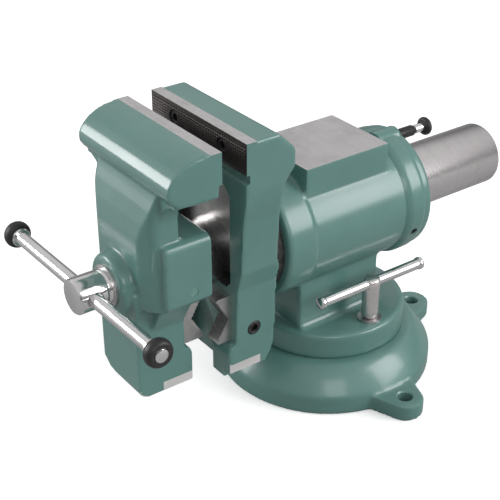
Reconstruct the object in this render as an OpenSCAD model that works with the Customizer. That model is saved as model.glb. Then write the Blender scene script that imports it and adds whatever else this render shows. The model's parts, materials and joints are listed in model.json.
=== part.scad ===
// Revolving bench vise: a bullet-type vise whose jaws turn about the screw axis and whose
// body swivels on its base. Origin: centre of the base on the bench plane. +Z up, +Y from
// the handle towards the tail of the guide tube, +X to the operator's right. Millimetres.

/* [Jaws] */
// Width of the jaws
jaw_w = 140; // [120:1:170]
// Gap between the jaw inserts in the pose drawn
opening = 22.5; // [15:0.5:40]
// Height of the jaw tops above the guide tube
throat = 98.5; // [90:0.5:120]
// Height of a jaw insert
insert_h = 28; // [22:0.5:35]
// Thickness of a jaw insert
insert_t = 11; // [9:0.5:14]
// Width of the movable pipe jaw
pipe_jaw_w = 54; // [44:1:56]
// Height of the pipe jaws
pipe_jaw_h = 46; // [38:1:50]
// Thickness of each plate of the fixed pipe jaw
plate_t = 14.5; // [12:0.5:15]

/* [Guide tube and screw] */
// Outer diameter of the guide tube
tube_d = 62; // [51:0.5:75]
// Wall of the guide tube
tube_wall = 7; // [6:0.5:8]
// Distance from the swivel axis to the tail end of the guide tube
tube_tail = 198; // [185:1:240]
// Diameter of the main screw thread
screw_d = 28; // [24:0.5:32]
// Diameter of the screw head that holds the handle
hub_d = 32; // [27:0.5:38]
// Diameter of the main handle
handle_d = 12.5; // [10:0.5:15]
// Length of the main handle
handle_l = 250; // [208:1:290]

/* [Revolving head and body] */
// Height of the screw axis above the bench
axis_h = 166; // [160:1:200]
// Wall of the head's barrel
barrel_wall = 13; // [11:0.5:15]
// Wall of the body round the barrel
body_wall = 14; // [12:0.5:17]
// Width of the anvil
anvil_w = 80; // [67:1:96]
// Length of the anvil
anvil_l = 95; // [80:1:102]
// Height of the anvil above the screw axis
anvil_h = 70; // [66:0.5:84]

/* [Swivel base] */
// Diameter of the base flange
base_d = 210; // [202:1:245]
// Height of the base
base_h = 44; // [38:1:50]
// Height of the swivel disc
disc_h = 26; // [22:0.5:30]
// Diameter of the seat between base and swivel disc
seat_d = 164; // [160:1:176]
// Radius of the bolt holes from the swivel axis
lug_r = 120; // [116:1:136]
// Diameter of the bolt holes
lug_hole_d = 14; // [11:0.5:16]
// Thickness of the bolt lugs
lug_t = 16; // [13:0.5:16]

/* [Swivel locks] */
// Distance of each lock screw from the middle plane
lock_x = 60; // [58:0.5:62]
// Diameter of a lock screw's head
lock_head_d = 17; // [15:0.5:20]
// Diameter of a lock screw's thread
lock_thread_d = 12; // [10:0.5:14]
// Diameter of a lock bar
bar_d = 9; // [8:0.5:11]
// Length of a lock bar
bar_l = 126; // [105:1:150]

/* [Hidden] */

$fn = 64;
run = 0.05;      // radial clearance of a running fit
gap = 0.3;       // clearance between faces that pass each other
eps = 0.02;      // overlap that joins two shapes of one casting

// colours
enamel = [0.42, 0.58, 0.55];
bright = [0.78, 0.77, 0.77];
steel = [0.55, 0.54, 0.54];
black = [0.10, 0.10, 0.11];

// radii about the screw axis
tube_r = tube_d / 2;
tube_bore_r = tube_r - tube_wall;
barrel_r = tube_r + run + barrel_wall;
housing_r = barrel_r + body_wall;
ring_r = housing_r + 2;          // raised bands of the housing
collar_r = housing_r + 3.3;
jaw_top = axis_h + tube_r + throat;

// stations along the screw axis
fixed_face = -146.5;             // gripping face of the fixed insert
movable_face = fixed_face - opening;
jaw_front = fixed_face + 0.5;    // cast front face of the fixed jaw
jaw_back = fixed_face + 42.5;    // back of the fixed jaw below the screw axis
neck_back = jaw_back - 4;        // and above it
body_front = jaw_back + 12;
ring_l = 32;                     // length of the front band
body_rear = 44;
band_l = 16;                     // length of the rear band
groove = 1.5;
collar_l = 27;
collar_front = body_rear + gap;
collar_rear = collar_front + collar_l;

// movable jaw
nose = 51;                       // head of the jaw in front of its gripping face
throat_back = 27;                // back wall of the throat, from the gripping face
relief = 3.5;                    // relief behind the lower edge of an insert
head_h = 39;                     // height of the jaw heads
waist_hw = 46;                   // half width of the waist
waist_face_hw = 31;              // half width of the flat front of the waist
leg_hw = pipe_jaw_w / 2 + 3.5;   // half width of the lower leg
pad_h = 8;                       // height of the ground pads under the jaws
leg_front = movable_face - 62.5;
leg_back = movable_face - 15;
waist_front = leg_front + 3.5;
leg_bottom = axis_h - 106;
boss_hw = tube_r + 22;           // tube boss
boss_top = tube_r + 18;          // above the screw axis
hub_boss_r = hub_d / 2 + 11;
hub_face = leg_front - 8.5;
tube_pin_y = movable_face - 18;  // pins that hold the guide tube in the jaw
floor_t = 18;                    // metal in front of the guide tube
tube_front = hub_face + floor_t;
tube_l = tube_tail - tube_front;

// pipe jaws
pipe_z = axis_h - 45;            // centre height of the V
pipe_proud = 22;                 // movable pipe jaw beyond the back of the leg
plate_proud = 15;                // plates beyond the front of the fixed jaw
pipe_back = 12.5;                // depth of the movable pipe jaw's pocket
plate_back = 26;                 // depth of the plates' slots
plate_x0 = leg_hw + 1;           // the plates pass either side of the leg
plate_x1 = plate_x0 + plate_t;
pipe_screw_dz = 15;              // the lower screw of the movable pipe jaw below its middle
vee = 12;                        // depth of the V
vee_h = pipe_jaw_h / 2 - 2.5;    // half height of its mouth

// fixed jaw
foot_hw = plate_x1 + 8;          // half width of its foot
toe = 7.5;                       // the toes under the pipe jaws reach into the gap
plate_screw_y = jaw_front + 19;
plate_screw_z = pipe_z - 13;
pocket_d = 15;                   // hollow round the tube in the front face
pocket_hw = foot_hw - 8;

// travel of the movable jaw from the pose drawn
close_travel = opening;
open_travel = 104.5;

// nut
nut_l = 60;
nut_r = tube_bore_r - gap;
key_w = 14;
key_l = 40;
key_bottom = barrel_r - 4;       // depth of the nut's key below the screw axis
dowel_z = axis_h - (tube_r + key_bottom) / 2;
dowel_hl = barrel_r / 2 - 2;     // half length of a dowel

// screw
journal_d = screw_d - 6;
hub_l = 31;
hub_front = hub_face - 2 - hub_l;
washer_t = 2;
keeper_r = tube_bore_r - 2;
keeper_l = 13;
keeper_front = tube_front + gap;
bush_l = 12;
tail_d = 15;
handle_y = hub_face - washer_t - 17.5;
cap_r = handle_d / 2 + 6.2;
cap_l = 12;
handle_lean = -1;                // degrees the handle stands off level
handle_shift = -8;               // and how far it has slid in its hole

// screw for an insert
ins_screw_d = 8;
ins_screw_l = 26;
ins_screw_x = jaw_w / 4;

// head plunger
plunger_a = 84;                  // angle up from +X
plunger_r = (barrel_r + ring_r) / 2 + 2.3;
plunger_pin_d = 6;
plunger_bore_d = 9;
plunger_boss_r = 10.5;
plunger_x = plunger_r * cos(plunger_a);
plunger_z = axis_h + plunger_r * sin(plunger_a);
index_depth = 9;
pin_tip = body_rear - index_depth + 1;
sleeve_rear = collar_rear + 27;
knob_y = collar_rear + 39;

// base and swivel
seat_r = seat_d / 2;
disc_r = seat_r - 5;
bore_r = lock_x + 10;            // opening in the top of the base
spigot_r = bore_r - run;
spigot_l = 8;
lip_t = 10;
cavity_r = bore_r + 9;
clamp_t = 14;
clamp_top = base_h - lip_t - 0.2;
clamp_r = cavity_r - 2;
clamp_bore_r = lock_x - 18;
disc_top = base_h + disc_h;
foot_l_front = 61;               // pedestal ahead of the swivel axis
foot_l_rear = 34;                // and behind it
pedestal_hw = 36;
core_wall = 13;
core_hw = pedestal_hw - core_wall + 3;
lock_y = 5;
lock_z = disc_top + 39;          // height of the lock bars
lock_top = lock_z + 6;
lug_tip_r = lug_hole_d / 2 + 11;
rim_w = 11;                      // width of the rim that stands on the bench

// ------------------------------------------------------------------ helpers
function arc(cx, cy, r, a0, a1, n = 8) =
  [for (i = [0:n]) let (a = a0 + (a1 - a0) * i / n) [cx + r * cos(a), cy + r * sin(a)]];
function mirror_x(pts) = [for (i = [len(pts) - 1:-1:0]) [-pts[i][0], pts[i][1]]];

// cylinder along +Y from station y0 to y1, centred on x, z
module y_rod(r, y0, y1, x = 0, z = axis_h, r2 = -1) {
  translate([x, y0, z]) rotate([-90, 0, 0])
    cylinder(h = y1 - y0, r1 = r, r2 = r2 < 0 ? r : r2);
}

// cylinder along +X from x0 to x1
module x_rod(r, x0, x1, y, z) {
  translate([x0, y, z]) rotate([0, 90, 0]) cylinder(h = x1 - x0, r = r);
}

// outline given as [y, z], extruded across the width from -hw to hw
module side_block(hw, pts) {
  translate([-hw, 0, 0]) rotate([90, 0, 90]) linear_extrude(height = 2 * hw) polygon(pts);
}

// outline given as [x, z], extruded along Y from y0 to y1
module front_block(y0, y1, pts) {
  translate([0, y1, 0]) rotate([90, 0, 0]) linear_extrude(height = y1 - y0) polygon(pts);
}

// outline given as [x, y], extruded up from z0 to z1
module plan_block(z0, z1, pts) {
  translate([0, 0, z0]) linear_extrude(height = z1 - z0) polygon(pts);
}

// ------------------------------------------------------------------ swivel base
module lug_outline() {
  circle(r = lug_tip_r);
  polygon([[0, lug_tip_r], [-lug_r + seat_r, lug_tip_r + 14],
           [-lug_r + seat_r, -lug_tip_r - 14], [0, -lug_tip_r]]);
}

module base_casting() {
  flange_r = base_d / 2;
  shoulder = flange_r - seat_r;
  bulge_h = base_h - 18;
  profile = concat([[flange_r - rim_w, 0], [flange_r, 0]],
    [for (i = [0:8]) let (a = 90 * i / 8, t = sin(a))
      [seat_r + shoulder * (0.4 * cos(a) + 0.6 * (1 - t)), 18 + bulge_h * t]],
    [[bore_r, base_h], [bore_r, base_h - lip_t], [cavity_r, base_h - lip_t],
     [flange_r - rim_w - 8, base_h - lip_t - 5], [flange_r - rim_w - 1, 18]]);
  color(enamel) difference() {
    union() {
      rotate_extrude($fn = 96) polygon(profile);
      difference() {
        for (a = [0, 90, 180]) rotate([0, 0, a]) translate([lug_r, 0, 0])
          linear_extrude(height = lug_t) lug_outline();
        translate([0, 0, -1]) cylinder(h = base_h, r = flange_r - rim_w);
      }
    }
    for (a = [0, 90, 180]) rotate([0, 0, a]) translate([lug_r, 0, -1])
      cylinder(h = lug_t + 2, d = lug_hole_d);
    for (a = [0, 90, 180]) rotate([0, 0, a]) translate([lug_r, 0, lug_t])
      cylinder(h = base_h, r = lug_hole_d / 2 + 7);
  }
}

module clamp_ring() {
  color(steel) difference() {
    translate([0, 0, clamp_top - clamp_t]) cylinder(h = clamp_t, r = clamp_r, $fn = 96);
    translate([0, 0, clamp_top - clamp_t - 1]) cylinder(h = clamp_t + 2, r = clamp_bore_r);
    for (s = [-1, 1]) translate([s * lock_x, lock_y, 0])
      cylinder(h = base_h, r = lock_thread_d / 2 + run);
  }
}

// ------------------------------------------------------------------ swivel body
module pedestal() {
  hw = pedestal_hw;
  foot = 6;
  plan_block(disc_top - 4, axis_h - 10, [[-hw, -foot_l_front], [hw, -foot_l_front],
    [hw, foot_l_rear], [-hw, foot_l_rear]]);
  // the foot spreads onto the disc
  front_block(-foot_l_front, foot_l_rear, concat(
    arc(hw + foot, disc_top + foot, foot, 270, 180, 4),
    [[-hw, disc_top + foot]],
    [for (p = arc(-hw - foot, disc_top + foot, foot, 0, -90, 4)) p],
    [[-hw - foot, disc_top - 4], [hw + foot, disc_top - 4]]));
}

module anvil() {
  hw = anvil_w / 2;
  top = axis_h + anvil_h;
  rear = anvil_l - foot_l_front + 1;
  front_block(rear - anvil_l, rear, concat(
    [[hw, top - 1], [hw - 1, top], [1 - hw, top], [-hw, top - 1]],
    [[-hw, axis_h + 20], [hw, axis_h + 20]]));
}

module swivel_body() {
  color(enamel) difference() {
    union() {
      // swivel disc with its spigot and a broken upper edge
      rotate_extrude($fn = 96) polygon([[clamp_bore_r, base_h - spigot_l],
        [spigot_r, base_h - spigot_l], [spigot_r, base_h + gap], [disc_r, base_h + gap],
        [disc_r, disc_top - 4], [disc_r - 1.2, disc_top - 1.2], [disc_r - 4, disc_top],
        [0, disc_top], [0, disc_top - 16], [clamp_bore_r, disc_top - 16]]);
      pedestal();
      anvil();
      // housing with its front and rear bands
      rotate([-90, 0, 0]) translate([0, -axis_h, body_front])
        rotate_extrude($fn = 96) polygon(housing_profile());
    }
    y_rod(barrel_r + run, body_front - 1, body_rear + 1, $fn = 96);
    // core of the pedestal
    plan_block(disc_top - 17, axis_h - housing_r - 2,
      [[-core_hw, core_wall - foot_l_front], [core_hw, core_wall - foot_l_front],
       [core_hw, foot_l_rear - core_wall], [-core_hw, foot_l_rear - core_wall]]);
    for (s = [-1, 1]) translate([s * lock_x, lock_y, base_h - spigot_l - 1])
      cylinder(h = disc_h + spigot_l + 2, r = lock_thread_d / 2 + gap);
    // index holes in the rear face for the head plunger
    for (i = [0:11]) translate([0, 0, axis_h]) rotate([0, 90 - plunger_a + 30 * i, 0])
      y_rod(plunger_pin_d / 2 + 0.15, body_rear - index_depth, body_rear + 1,
            z = plunger_r, $fn = 24);
  }
}

function housing_profile() = let (l = body_rear - body_front)
  [[barrel_r - 1, 0], [ring_r - 2.5, 0], [ring_r - 0.8, 0.8], [ring_r, 2.5],
   [ring_r, ring_l - 1.5], [housing_r, ring_l],
   [housing_r, l - band_l - groove - 1.2], [housing_r - 1, l - band_l - groove],
   [housing_r - 1, l - band_l],
   [ring_r, l - band_l + 1], [ring_r, l - 3], [housing_r, l - 1.2], [housing_r - 1, l],
   [barrel_r - 1, l]];

module lock_screw(side) {
  x = side * lock_x;
  color(bright) difference() {
    union() {
      translate([x, lock_y, clamp_top - clamp_t + 1])
        cylinder(h = disc_top + 3 - clamp_top + clamp_t, d = lock_thread_d);
      translate([x, lock_y, disc_top + 2])
        cylinder(h = 4, r1 = lock_head_d / 2 - 2, r2 = lock_head_d / 2);
      translate([x, lock_y, disc_top + 6])
        cylinder(h = lock_top - disc_top - 7.5, d = lock_head_d);
      translate([x, lock_y, lock_top - 1.5])
        cylinder(h = 1.5, r1 = lock_head_d / 2, r2 = lock_head_d / 2 - 1.5);
    }
    y_rod(bar_d / 2 + run, lock_y - lock_head_d, lock_y + lock_head_d, x = x, z = lock_z);
  }
}

module lock_bar(side) {
  x = side * lock_x;
  tip = 3.5;
  color(bright) {
    y_rod(bar_d / 2, lock_y - bar_l / 2 + 1, lock_y + bar_l / 2 - 1, x = x, z = lock_z);
    for (s = [-1, 1]) translate([0, lock_y + s * (bar_l / 2 - 2 * tip), 0])
      rotate([0, 0, s < 0 ? 180 : 0]) {
        y_rod(bar_d / 2, 0, tip, x = s * x, z = lock_z, r2 = bar_d / 2 + 1.6);
        y_rod(bar_d / 2 + 1.6, tip - eps, 2 * tip, x = s * x, z = lock_z);
      }
  }
}

module right_lock_screw() { lock_screw(1); }
module left_lock_screw() { lock_screw(-1); }
module right_lock_bar() { lock_bar(1); }
module left_lock_bar() { lock_bar(-1); }

module lock_washers() {
  color(steel) for (s = [-1, 1]) translate([s * lock_x, lock_y, disc_top])
    difference() {
      cylinder(h = 2, r = lock_thread_d / 2 + 5.5);
      translate([0, 0, -1]) cylinder(h = 4, r = lock_thread_d / 2 + gap);
    }
}

// ------------------------------------------------------------------ revolving head
// front outline of the fixed jaw, [x, z]
function fixed_outline() =
  let (top = jaw_top, half = [[foot_hw - 10, leg_bottom], [foot_hw - 10, leg_bottom + pad_h],
    [foot_hw - 3, leg_bottom + pad_h + 3], [foot_hw, leg_bottom + pad_h + 9],
    [foot_hw, axis_h - 72], [foot_hw + 2.5, axis_h - 14], [foot_hw + 8.6, axis_h + 6],
    [jaw_w / 2 - 4.4, axis_h + 55], [jaw_w / 2, top - 46], [jaw_w / 2, top]])
  concat(half, mirror_x(half));

function fixed_side() = [
  [jaw_front + insert_t - 0.5, jaw_top], [jaw_back - 8, jaw_top],
  [jaw_back + 6.5, jaw_top - 15.5], [jaw_back + 8, jaw_top - 18], [jaw_back + 8, jaw_top - 32],
  [jaw_back + 2, jaw_top - head_h], [neck_back + 1.5, jaw_top - 47], [neck_back, jaw_top - 58],
  [neck_back, axis_h + 8], [jaw_back, axis_h], [jaw_back, leg_bottom + 24],
  [jaw_back - 9, leg_bottom + pad_h], [jaw_back - 9, leg_bottom],
  [jaw_front - toe, leg_bottom], [jaw_front - toe, pipe_z - pipe_jaw_h / 2 - 9],
  [jaw_front - toe + 2, pipe_z - pipe_jaw_h / 2 - 4], [jaw_front, pipe_z - pipe_jaw_h / 2 - 1],
  [jaw_front, jaw_top - insert_h - 9],
  [jaw_front + relief, jaw_top - insert_h - 7.5], [jaw_front + relief, jaw_top - insert_h],
  [jaw_front + insert_t - 0.5, jaw_top - insert_h]];

module fixed_jaw() {
  shoulder_r = barrel_r + 8;
  color(enamel) difference() {
    union() {
      intersection() {
        front_block(jaw_front - toe - 1, jaw_back + 10, fixed_outline());
        side_block(jaw_w, fixed_side());
      }
      y_rod(shoulder_r, neck_back - 10, jaw_back, $fn = 96);
      y_rod(barrel_r, neck_back - 10, collar_rear - 1, $fn = 96);
    }
    y_rod(tube_r + run, jaw_front - 1, collar_rear, $fn = 96);
    front_pocket();
    pipe_recess();
    // slot and pocket for the key of the nut
    translate([-key_w / 2 - run, -key_l / 2 - run, axis_h - key_bottom - gap])
      cube([key_w + 2 * run, key_l + 2 * run, key_bottom]);
    for (y = [-key_l / 4, key_l / 4]) x_rod(3, -barrel_r, barrel_r, y, dowel_z);
    insert_screw_holes(jaw_front + insert_t - 0.5, 1, ins_screw_d / 2);
    // screws that hold the plates of the pipe jaw from the sides
    for (s = [-1, 1]) {
      x_span(4, s, plate_x1 - 1, foot_hw + 5);
      x_span(7.2, s, foot_hw - 4.5, foot_hw + 5);
    }
  }
}

// cylinder along X on side s, at a side screw of the pipe jaw
module x_span(r, s, x0, x1) {
  x_rod(r, s > 0 ? x0 : -x1, s > 0 ? x1 : -x0, plate_screw_y, plate_screw_z);
}

// hollow in the front face, from the pipe jaw up to the head
module front_pocket() {
  z0 = pipe_z + pipe_jaw_h / 2 + 6;
  z1 = jaw_top - head_h - 9;
  half = [[pocket_hw - 6, z0], [pocket_hw, z0 + 6], [pocket_hw, z1 - 8], [pocket_hw - 8, z1]];
  front_block(jaw_front - 1, jaw_front + pocket_d, concat(half, mirror_x(half)));
}

// slots of the two plates, and room between them for the movable pipe jaw, open below
module pipe_recess() {
  h = pipe_jaw_h + 0.2;
  for (s = [-1, 1]) translate([s > 0 ? plate_x0 - 0.1 : -plate_x1 - 0.1, jaw_front - toe - 1,
    pipe_z - h / 2]) cube([plate_t + 0.2, toe + plate_back + 1.1, h]);
  depth = pipe_proud + close_travel - (jaw_front - leg_back) + 1.5;
  translate([-pipe_jaw_w / 2 - 1.5, jaw_front - toe - 1, leg_bottom - 1])
    cube([pipe_jaw_w + 3, toe + depth + 1, pipe_z + h / 2 + 2 - leg_bottom]);
}

// two blind holes behind an insert; s points into the jaw along Y
module insert_screw_holes(y, s, r) {
  for (x = [-ins_screw_x, ins_screw_x]) translate([x, y, jaw_top - insert_h / 2])
    rotate([-90 * s, 0, 0]) translate([0, 0, -1])
      cylinder(h = ins_screw_l - insert_t + 2, r = r, $fn = 32);
}

module pipe_jaw_pocket() {
  hw = pipe_jaw_w / 2 + 0.1;
  translate([-hw, leg_back - pipe_back - 0.1, pipe_z - pipe_jaw_h / 2 - 0.1])
    cube([2 * hw, pipe_back + toe + 2, pipe_jaw_h + 0.2]);
}

module thrust_ring() {
  color(steel) difference() {
    y_rod(barrel_r + 8, jaw_back, body_front - 0.2, $fn = 96);
    y_rod(barrel_r + run, jaw_back - 1, body_front + 1, $fn = 96);
  }
}

module rear_collar() {
  color(enamel) difference() {
    union() {
      rotate([-90, 0, 0]) translate([0, -axis_h, collar_front]) rotate_extrude($fn = 96)
        polygon([[barrel_r - 1, 0], [housing_r - 1, 0], [housing_r, 1.2], [collar_r, 7],
          [collar_r, collar_l - 6], [collar_r - 2, collar_l - 2], [collar_r - 5.5, collar_l],
          [barrel_r - 1, collar_l]]);
      y_rod(plunger_boss_r, collar_front + 1.5, collar_rear + 3.5, x = plunger_x,
            z = plunger_z);
    }
    y_rod(barrel_r, collar_front - 1, collar_rear + 1, $fn = 96);
    y_rod(plunger_bore_d / 2, collar_front - 1, collar_rear + 5, x = plunger_x,
          z = plunger_z);
    for (a = [200, 270, 340]) translate([0, collar_front + collar_l / 2, axis_h])
      rotate([0, 90 - a, 0]) cylinder(h = 90, d = 8, $fn = 32);
  }
}

module collar_set_screws() {
  color(black) for (a = [200, 270, 340])
    translate([0, collar_front + collar_l / 2, axis_h]) rotate([0, 90 - a, 0])
      translate([0, 0, barrel_r]) difference() {
        cylinder(h = collar_r - barrel_r - 1, d = 8, $fn = 32);
        translate([0, 0, collar_r - barrel_r - 5]) cylinder(h = 6, d = 4.6, $fn = 6);
      }
}

// spring plunger that indexes the head every 30 degrees
module plunger_sleeve() {
  color(black) difference() {
    union() {
      y_rod(plunger_bore_d / 2, collar_front + 8, collar_rear + 4, x = plunger_x,
            z = plunger_z);
      y_rod(6.2, collar_rear + 3.5, sleeve_rear, x = plunger_x, z = plunger_z);
    }
    y_rod(plunger_pin_d / 2 + run, collar_front, sleeve_rear + 1, x = plunger_x,
          z = plunger_z);
    y_rod(4.9, collar_rear + 7, sleeve_rear - 3, x = plunger_x, z = plunger_z);
  }
}

module plunger_spring() {
  turns = 4;
  pitch = 3.2;
  color(steel) for (i = [0:turns - 1])
    translate([plunger_x, sleeve_rear - 4 - i * pitch, plunger_z]) rotate([90, 0, 0])
      rotate_extrude($fn = 32) translate([4.1, 0]) circle(d = 1.2, $fn = 13);
}

module plunger_pin() {
  color(bright) {
    y_rod(plunger_pin_d / 2, pin_tip, knob_y + 6, x = plunger_x, z = plunger_z);
    y_rod(4.6, collar_rear + 7.4, collar_rear + 9, x = plunger_x, z = plunger_z);
    y_rod(4.25, sleeve_rear + 0.5, knob_y + 6, x = plunger_x, z = plunger_z);
  }
}

module plunger_knob() {
  color(black) difference() {
    translate([plunger_x, knob_y, plunger_z]) rotate([-90, 0, 0]) rotate_extrude()
      polygon([[3, 0], [7.5, 0], [9, 1.5], [9, 4.5], [7.5, 6], [3, 6]]);
    y_rod(4.25, knob_y - 1, knob_y + 7, x = plunger_x, z = plunger_z);
  }
}

module main_nut() {
  color([0.66, 0.52, 0.30]) difference() {
    union() {
      y_rod(nut_r, -nut_l / 2, nut_l / 2);
      translate([-key_w / 2, -key_l / 2, axis_h - key_bottom])
        cube([key_w, key_l, key_bottom - screw_d / 2]);
    }
    y_rod(screw_d / 2 + run, -nut_l / 2 - 1, nut_l / 2 + 1);
    for (y = [-key_l / 4, key_l / 4]) x_rod(3, -barrel_r, barrel_r, y, dowel_z);
  }
}

// two dowels hold the key of the nut in the barrel
module nut_dowels() {
  color(steel) for (y = [-key_l / 4, key_l / 4]) x_rod(3, -dowel_hl, dowel_hl, y, dowel_z);
}

// ------------------------------------------------------------------ jaw inserts
// s = 1: insert on the fixed jaw (face towards -Y); s = -1: on the movable jaw
module insert(face, s) {
  back = face + s * insert_t;
  y0 = min(face, back);
  color(steel) difference() {
    translate([-jaw_w / 2, y0, jaw_top - insert_h]) cube([jaw_w, insert_t, insert_h]);
    for (x = [-ins_screw_x, ins_screw_x]) translate([x, 0, jaw_top - insert_h / 2]) {
      y_rod(ins_screw_d / 2 + 0.25, y0 - 1, y0 + insert_t + 1, z = 0, $fn = 32);
      y_rod(7, s > 0 ? face - 1 : face - 7, s > 0 ? face + 7 : face + 1, z = 0, $fn = 32);
    }
  }
}

module insert_screws(face, s) {
  color(black) for (x = [-ins_screw_x, ins_screw_x])
    translate([x, face, jaw_top - insert_h / 2]) rotate([-90 * s, 0, 0])
      difference() {
        union() {
          translate([0, 0, 1.5]) cylinder(h = 5.5, d = 13, $fn = 32);
          cylinder_from(ins_screw_d, 6, ins_screw_l);
        }
        translate([0, 0, 0.5]) cylinder(h = 4, d = 6.9, $fn = 6);
      }
}

module cylinder_from(d, z0, z1) {
  translate([0, 0, z0]) cylinder(h = z1 - z0, d = d, $fn = 32);
}

module fixed_insert() { insert(fixed_face, 1); }
module movable_insert() { insert(movable_face, -1); }
module fixed_insert_screws() { insert_screws(fixed_face, 1); }
module movable_insert_screws() { insert_screws(movable_face, -1); }

// ------------------------------------------------------------------ pipe jaws
// outline of a V jaw from its tips at y = face; s points back into its casting
function pipe_jaw_side(face, s, depth) = let (h = pipe_jaw_h / 2, back = face + s * depth)
  [[face, pipe_z + vee_h + 1], [face + s * 1.5, pipe_z + h], [back, pipe_z + h],
   [back, pipe_z - h], [face + s * 1.5, pipe_z - h], [face, pipe_z - vee_h - 1],
   [face, pipe_z - vee_h], [face + s * vee, pipe_z], [face, pipe_z + vee_h]];

module fixed_pipe_jaw() {
  color(bright) difference() {
    for (s = [-1, 1]) translate([s * (plate_x0 + plate_x1) / 2, 0, 0])
      side_block(plate_t / 2, pipe_jaw_side(jaw_front - plate_proud, 1,
        plate_proud + plate_back));
    for (s = [-1, 1]) x_span(4, s, plate_x1 - 6, plate_x1 + 1);
  }
}

module fixed_pipe_jaw_screws() {
  color(black) for (s = [-1, 1]) difference() {
    union() {
      x_span(4, s, plate_x1 - 5, foot_hw - 3);
      x_span(6.5, s, foot_hw - 4.5, foot_hw + 1);
    }
    translate([s * (foot_hw - 2.5), plate_screw_y, plate_screw_z]) rotate([0, 90 * s, 0])
      cylinder(h = 8, d = 6.9, $fn = 6);
  }
}

module movable_pipe_jaw() {
  color(bright) difference() {
    side_block(pipe_jaw_w / 2, pipe_jaw_side(leg_back + pipe_proud, -1,
      pipe_proud + pipe_back));
    // saddle under the guide tube
    y_rod(tube_r + 1.5, leg_back - 50, leg_back + 50, $fn = 96);
    y_rod(4, leg_back - pipe_back - 1, leg_back - pipe_back + 6, z = pipe_z - pipe_screw_dz);
    y_rod(4, leg_back - pipe_back - 1, leg_back - pipe_back + 6,
      z = pipe_z + pipe_screw_dz - 8);
  }
}

// two screws from the front of the leg hold the movable pipe jaw
module movable_pipe_jaw_screws() {
  color(black) for (dz = [-pipe_screw_dz, pipe_screw_dz - 8]) difference() {
    union() {
      y_rod(4, leg_front + 8, leg_back - pipe_back + 5, z = pipe_z + dz);
      y_rod(6.5, leg_front + 1.5, leg_front + 9, z = pipe_z + dz);
    }
    translate([0, leg_front + 1, pipe_z + dz]) rotate([-90, 0, 0])
      cylinder(h = 5, d = 6.9, $fn = 6);
  }
}

// ------------------------------------------------------------------ movable jaw
function movable_head() = let (f = movable_face, t = jaw_top) [
  [f - insert_t, t], [f - 24, t - 1], [f - 33, t - 3.5], [f - 41, t - 8], [f - 47, t - 13.5],
  [f - nose, t - 22], [f - nose + 0.5, t - 28], [f - 45, t - 35], [f - 36, t - head_h + 1],
  [f - relief, t - head_h], [f - relief, t - insert_h], [f - insert_t, t - insert_h]];

function leg_outline() = let (b = leg_bottom, hw = leg_hw)
  [[hw - 3.5, b], [hw - 3.5, b + pad_h - 1], [hw, b + pad_h + 1], [hw, axis_h - 30],
   [-hw, axis_h - 30], [-hw, b + pad_h + 1], [3.5 - hw, b + pad_h - 1], [3.5 - hw, b]];

// outline of the leg, [y, z]: a chamfer under its front and a toe under the pipe jaw
function leg_side() = let (b = leg_bottom, low = pipe_z - pipe_jaw_h / 2) [
  [leg_front, axis_h], [leg_front, b + 7], [leg_front + 7, b], [leg_back + toe, b],
  [leg_back + toe, low - 9], [leg_back + toe - 2, low - 4], [leg_back, low - 1],
  [leg_back, axis_h]];

module movable_jaw() {
  f = movable_face;
  cove_r = 22;
  color(enamel) difference() {
    union() {
      side_block(jaw_w / 2, movable_head());
      // waist, with broken front edges
      plan_block(axis_h - 16, jaw_top - head_h + 6, [[-waist_face_hw, waist_front],
        [waist_face_hw, waist_front], [waist_hw, waist_front + 14],
        [waist_hw, f - throat_back], [-waist_hw, f - throat_back],
        [-waist_hw, waist_front + 14]]);
      // coves that spread the waist under the head
      front_block(waist_front + 15, f - throat_back, concat(
        arc(waist_hw + cove_r, jaw_top - head_h - cove_r, cove_r, 180, 90, 6),
        [[waist_hw + cove_r, jaw_top - head_h + 2], [-waist_hw - cove_r,
          jaw_top - head_h + 2]],
        arc(-waist_hw - cove_r, jaw_top - head_h - cove_r, cove_r, 90, 0, 6)));
      // shoulders down to the leg
      front_block(waist_front, leg_back, [[waist_face_hw, axis_h], [-waist_face_hw, axis_h],
        [-leg_hw, axis_h - 36], [leg_hw, axis_h - 36]]);
      front_block(waist_front + 14, leg_back, [[waist_hw, axis_h - 15],
        [-waist_hw, axis_h - 15], [-leg_hw, axis_h - 42], [leg_hw, axis_h - 42]]);
      // boss round the guide tube
      front_block(waist_front + 14, f, [[boss_hw, axis_h - 11], [boss_hw, axis_h + boss_top - 5],
        [boss_hw - 5, axis_h + boss_top], [5 - boss_hw, axis_h + boss_top],
        [-boss_hw, axis_h + boss_top - 5], [-boss_hw, axis_h - 11],
        [-waist_hw + 4, axis_h - 17], [waist_hw - 4, axis_h - 17]]);
      y_rod(tube_r + 9, leg_back - 10, leg_back, $fn = 96);
      // lower leg and the round boss for the screw
      intersection() {
        front_block(leg_front, leg_back + toe, leg_outline());
        side_block(jaw_w, leg_side());
      }
      y_rod(hub_boss_r, hub_face, waist_front + 5);
    }
    y_rod(tube_r, tube_front, f + 1, $fn = 96);
    y_rod(journal_d / 2 + run, hub_face - 1, tube_front + 1);
    insert_screw_holes(f - insert_t, -1, ins_screw_d / 2);
    pipe_jaw_pocket();
    for (dz = [-pipe_screw_dz, pipe_screw_dz - 8]) {
      y_rod(4, leg_front - 1, leg_back, z = pipe_z + dz);
      y_rod(7, leg_front - 1, leg_front + 9, z = pipe_z + dz);
    }
    for (s = [-1, 1]) x_rod(4, s > 0 ? 0 : -boss_hw - 1, s > 0 ? boss_hw + 1 : 0,
      tube_pin_y, axis_h);
  }
}

module tube_pins() {
  color(steel) for (s = [-1, 1])
    x_rod(4, s > 0 ? tube_r - 5 : -boss_hw + 0.5, s > 0 ? boss_hw - 0.5 : 5 - tube_r,
      tube_pin_y, axis_h);
}

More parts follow.
